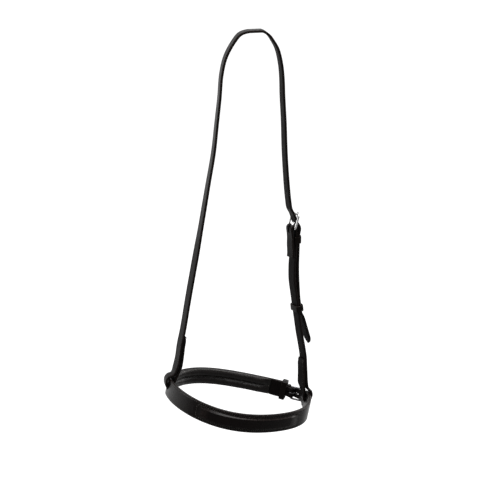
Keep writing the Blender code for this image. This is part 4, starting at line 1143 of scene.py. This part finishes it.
def jaw():
    bar_out = JAW_INNER - FIT_GAP - JAW_BAR_RADIUS
    heel = RING.place(-HEEL_PLACE, bar_out)
    toe = RING.place(-TOE_PLACE, FRONT_TOP + ROCK_GAP + JAW_BAR_RADIUS)
    # The jaw buckle takes the darkened steel, which is painted shade and not a different metal.
    buckle = Buckle("jaw", heel, toe, RING.out_at(-HEEL_PLACE), ROLL_UP, JAW_BAR_RADIUS,
                    BILLET_WIDTH / 2.0, "jaw_steel")
    fold = JAW_BAR_RADIUS + FIT_GAP + JAW_THICK / 2.0

    points = []
    halves = []
    deep = JAW_UNDER - JAW_THICK / 2.0
    near = JAW_INNER - FIT_GAP - JAW_THICK / 2.0
    for run in walk(JAW_TURNBACK_PLACE, HEEL_PLACE + SAMPLE_STEP):
        level = near + (deep - near) * between(
            JAW_KEEPER_LAST + 5.6 * MM, JAW_KEEPER_LAST + 0.8 * MM, run)
        level += (bar_out - fold - deep) * between(JAW_KEEPER_FIRST, HEEL_PLACE, run)
        points.append(RING.place(-run, level))
        halves.append(jaw_half_width(run))
    for k in range(25):
        points.append(buckle.round_bar(fold, -math.pi / 2.0 + math.pi * k / 24.0))
        halves.append(BILLET_WIDTH / 2.0)
    for run in walk(HEEL_PLACE + SAMPLE_STEP, RING.back - JAW_START):
        points.append(RING.place(-run, -FRONT_BASE - JAW_THICK / 2.0))
        halves.append(jaw_half_width(run))
    jaw_strap = strap("jaw_strap", points, "noseband_ring", JAW_THICK, ring_across,
                      JAW_WIDTH / 2.0, halves)
    cut(jaw_strap, buckle.tongue_slot())

    shares = [0.5 + 0.5 * math.cos(math.pi * k / 26) for k in range(27)]
    shares += [share - 1.0 for share in shares[1:]]
    lining = padded_lining(
        "jaw_padded_lining", steps(-ROLL_LAST, -ROLL_FIRST, PUCKER_STEP),
        lambda s: JAW_WIDTH / 2.0 - JAW_LINING_INSET, JAW_BASE, shares, jaw_lining_level,
        (0.94, 0.4), ("jaw_lining", "jaw_padding_upper", "jaw_padding_lower"))

    buckle.frame()
    buckle.tongue(3.9 * STRAP_THICK)

    for node, body, place, half, low, room, thick, width, dome in (
        ("jaw_fixed_keeper", "noseband_ring", JAW_KEEPER_PLACE, BILLET_WIDTH / 2.0 + FIT_GAP * 1.5,
         JAW_INNER, FIT_GAP * 1.3, KEEPER_THICK, JAW_KEEPER_WIDTH, 0.5 * KEEPER_DOME),
        ("jaw_runner", "jaw_runner", JAW_RUNNER_PLACE, JAW_WIDTH / 2.0 + SLIDE_GAP,
         JAW_UNDER - JAW_THICK, SLIDE_GAP, RUNNER_THICK, JAW_RUNNER_WIDTH, 0.3 * KEEPER_DOME),
    ):
        keeper(node, body, RING.place(-place, 0.0), ROLL_UP, RING.out_at(-place), half, low,
               FRONT_TOP, room, thick, width, dome)
    return buckle


def cut_billet(front, buckle):
    """Holes in the nosepiece's billet, one of them where the jaw buckle's tongue comes through."""
    path = [RING.place(-run, FRONT_BASE + FRONT_THICK / 2.0)
            for run in walk(SLOT_HALF_LENGTH, BILLET_LENGTH)]
    cut(front, buckle.billet_holes(path, JAW_HOLE_PITCH, range(3), ring_across))


def sew_raised_foot(sewing):
    """The row round the foot of the raised part, a long rounded rectangle."""
    outline = [(MIDDLE + s, u) for s, u, _, _ in rounded_loop(
        RAISED_HALF_LENGTH + FOOT_GAP, -FOOT_ROW, FOOT_ROW, FOOT_CORNER, 8, crown=0)]
    outline.append(outline[0])
    path = []
    for (s0, u0), (s1, u1) in zip(outline, outline[1:]):
        count = max(1, int(math.hypot(s1 - s0, u1 - u0) / SAMPLE_STEP))
        path += [(s0 + (s1 - s0) * k / count, u0 + (u1 - u0) * k / count) for k in range(count)]
    along = [0.0]
    for (s0, u0), (s1, u1) in zip(path, path[1:]):
        along.append(along[-1] + math.hypot(s1 - s0, u1 - u0))
    count = round(along[-1] / STITCH_PITCH)
    for k in range(count):
        i = bisect.bisect_left(along, along[-1] * k / count)
        here, there = (RING.place(s, front_level(s, u), u)
                       for s, u in (path[i], path[(i + 1) % len(path)]))
        sewing.stitch(here, (there - here).normalized(), RING.out_at(path[i][0]))


def ring_sewing():
    """The rows of stitches on both faces of the nosepiece and of the jaw strap."""
    sewing = Stitches()
    start = -JAW_START + SEAM_INSET
    end = RING.front + JAW_START - SEAM_INSET
    pitch = (end - start) / round((end - start) / STITCH_PITCH)
    for row in (-EDGE_ROW, EDGE_ROW):
        sewing.on_ring(start, RING.front + OFF_SIDE_LAP - TIP_LENGTH * 0.7, row, front_level, 1.0)
        sewing.on_ring(start, end, row, nose_lining_level, -1.0, pitch)
    sew_raised_foot(sewing)

    start = -ROLL_LAST + PAD_SEAM_INSET
    end = -ROLL_FIRST - PAD_SEAM_INSET
    pitch = (end - start) / round((end - start) / STITCH_PITCH)
    outer_row = JAW_WIDTH / 2.0 - CREASE_INSET
    for row in (0.0, outer_row, -outer_row):
        sewing.on_ring(-RING.back + OFF_SIDE_LAP + SEAM_INSET, end, row,
                       lambda s, up: -FRONT_BASE - (CREASE_DEPTH if up else 0.0), 1.0)
    for row in (0.0, JAW_EDGE_ROW, -JAW_EDGE_ROW):
        sewing.on_ring(start, end, row, jaw_lining_level, -1.0, pitch)
    sewing.done("noseband_ring_stitching", "noseband_ring")


headstrap_and_cheek()
nose_front = nosepiece()
jaw_buckle = jaw()
cut_billet(nose_front, jaw_buckle)
ring_sewing()

# the stage, the light and the camera
FLOOR_REACH = 14.0
FLOOR_HEIGHT = -0.95
FLOOR_GREY = 0.25
FLOOR_GLOW = 0.94
WORLD_LIGHT = 0.50
LIT_SPOT = Vector((-0.02, 0.0, -0.35))
SOFTBOXES = (
    ("left_softbox", (-1.8, 0.4, -0.1), 0.8, 0.8, 7.5),
    ("right_softbox", (1.7, 0.5, -0.1), 0.8, 0.8, 8.5),
    ("top_softbox", (0.1, -0.15, 1.15), 2.4, 0.7, 42.0),
)
CAMERA_SPOT = Vector((-0.4678, -1.9959, 0.3704))
CAMERA_AIM = Vector((-0.007, 0.0, -0.315))
CAMERA_LENS = 108.1
SENSOR_WIDTH = 36.0


def place_at(name, data, spot, aim):
    """Put a lamp or the camera at this spot, looking at the aim."""
    made = bpy.data.objects.new(name, data)
    made.location = spot
    made.rotation_euler = (aim - Vector(spot)).to_track_quat("-Z", "Y").to_euler()
    bpy.context.collection.objects.link(made)
    return made


def stage():
    """A pale floor that the camera sees as white, brighter towards the back in reflections."""
    mesh = bpy.data.meshes.new("floor")
    corners = ((-1.0, -1.0), (1.0, -1.0), (1.0, 1.0), (-1.0, 1.0))
    mesh.from_pydata([(x * FLOOR_REACH, y * FLOOR_REACH, FLOOR_HEIGHT) for x, y in corners], [],
                     [(0, 1, 2, 3)])
    floor = bpy.data.objects.new("floor", mesh)
    bpy.context.collection.objects.link(floor)
    look = Nodes(bpy.data.materials.new("pale_floor"))
    rays = look.new("LightPath").outputs
    places = look.new("SeparateXYZ")
    look.fill({0: look.coords}, places)
    behind = look.ramp(places.outputs["Y"], 0.0, 1.0, 0.2, 0.9)
    mirrored = look.sums("MULTIPLY", rays["Is Glossy Ray"], behind)
    seen = look.sums("MAXIMUM", rays["Is Camera Ray"], mirrored)
    look.fill({
        "Base Color": (FLOOR_GREY, FLOOR_GREY, FLOOR_GREY, 1.0), "Roughness": 0.9,
        "Emission Color": (1.0, 1.0, 1.0, 1.0),
        "Emission Strength": look.sums("MULTIPLY", seen, FLOOR_GLOW)})
    mesh.materials.append(look.owner)


def light():
    """A white world for the camera, dimmer as light, and three soft lamps."""
    world = bpy.data.worlds.new("studio")
    bpy.context.scene.world = world
    sky = Nodes(world, "Background", "Generated")
    rays = sky.new("LightPath").outputs
    ways = sky.new("SeparateXYZ")
    sky.fill({0: sky.coords}, ways)
    mirrored = sky.ramp(ways.outputs["Y"], 0.40, 1.0, 0.2, 0.7)
    plain = sky.ramp(rays["Is Glossy Ray"], WORLD_LIGHT, 0.0)
    glossy = sky.sums("MULTIPLY", rays["Is Glossy Ray"], mirrored)
    strength = sky.sums("MAXIMUM", sky.sums("ADD", plain, glossy), rays["Is Camera Ray"])
    sky.fill({"Color": (1.0, 1.0, 1.0, 1.0), "Strength": strength})
    for name, spot, wide, deep, power in SOFTBOXES:
        lamp = bpy.data.lights.new(name, "AREA")
        lamp.shape = "RECTANGLE"
        lamp.size = wide
        lamp.size_y = deep
        lamp.energy = power
        place_at(name, lamp, spot, LIT_SPOT)


def camera():
    lens = bpy.data.cameras.new("camera")
    lens.lens = CAMERA_LENS
    lens.sensor_width = SENSOR_WIDTH
    bpy.context.scene.camera = place_at("camera", lens, CAMERA_SPOT, CAMERA_AIM)


stage()
light()
camera()
bpy.context.scene.view_settings.view_transform = "Standard"
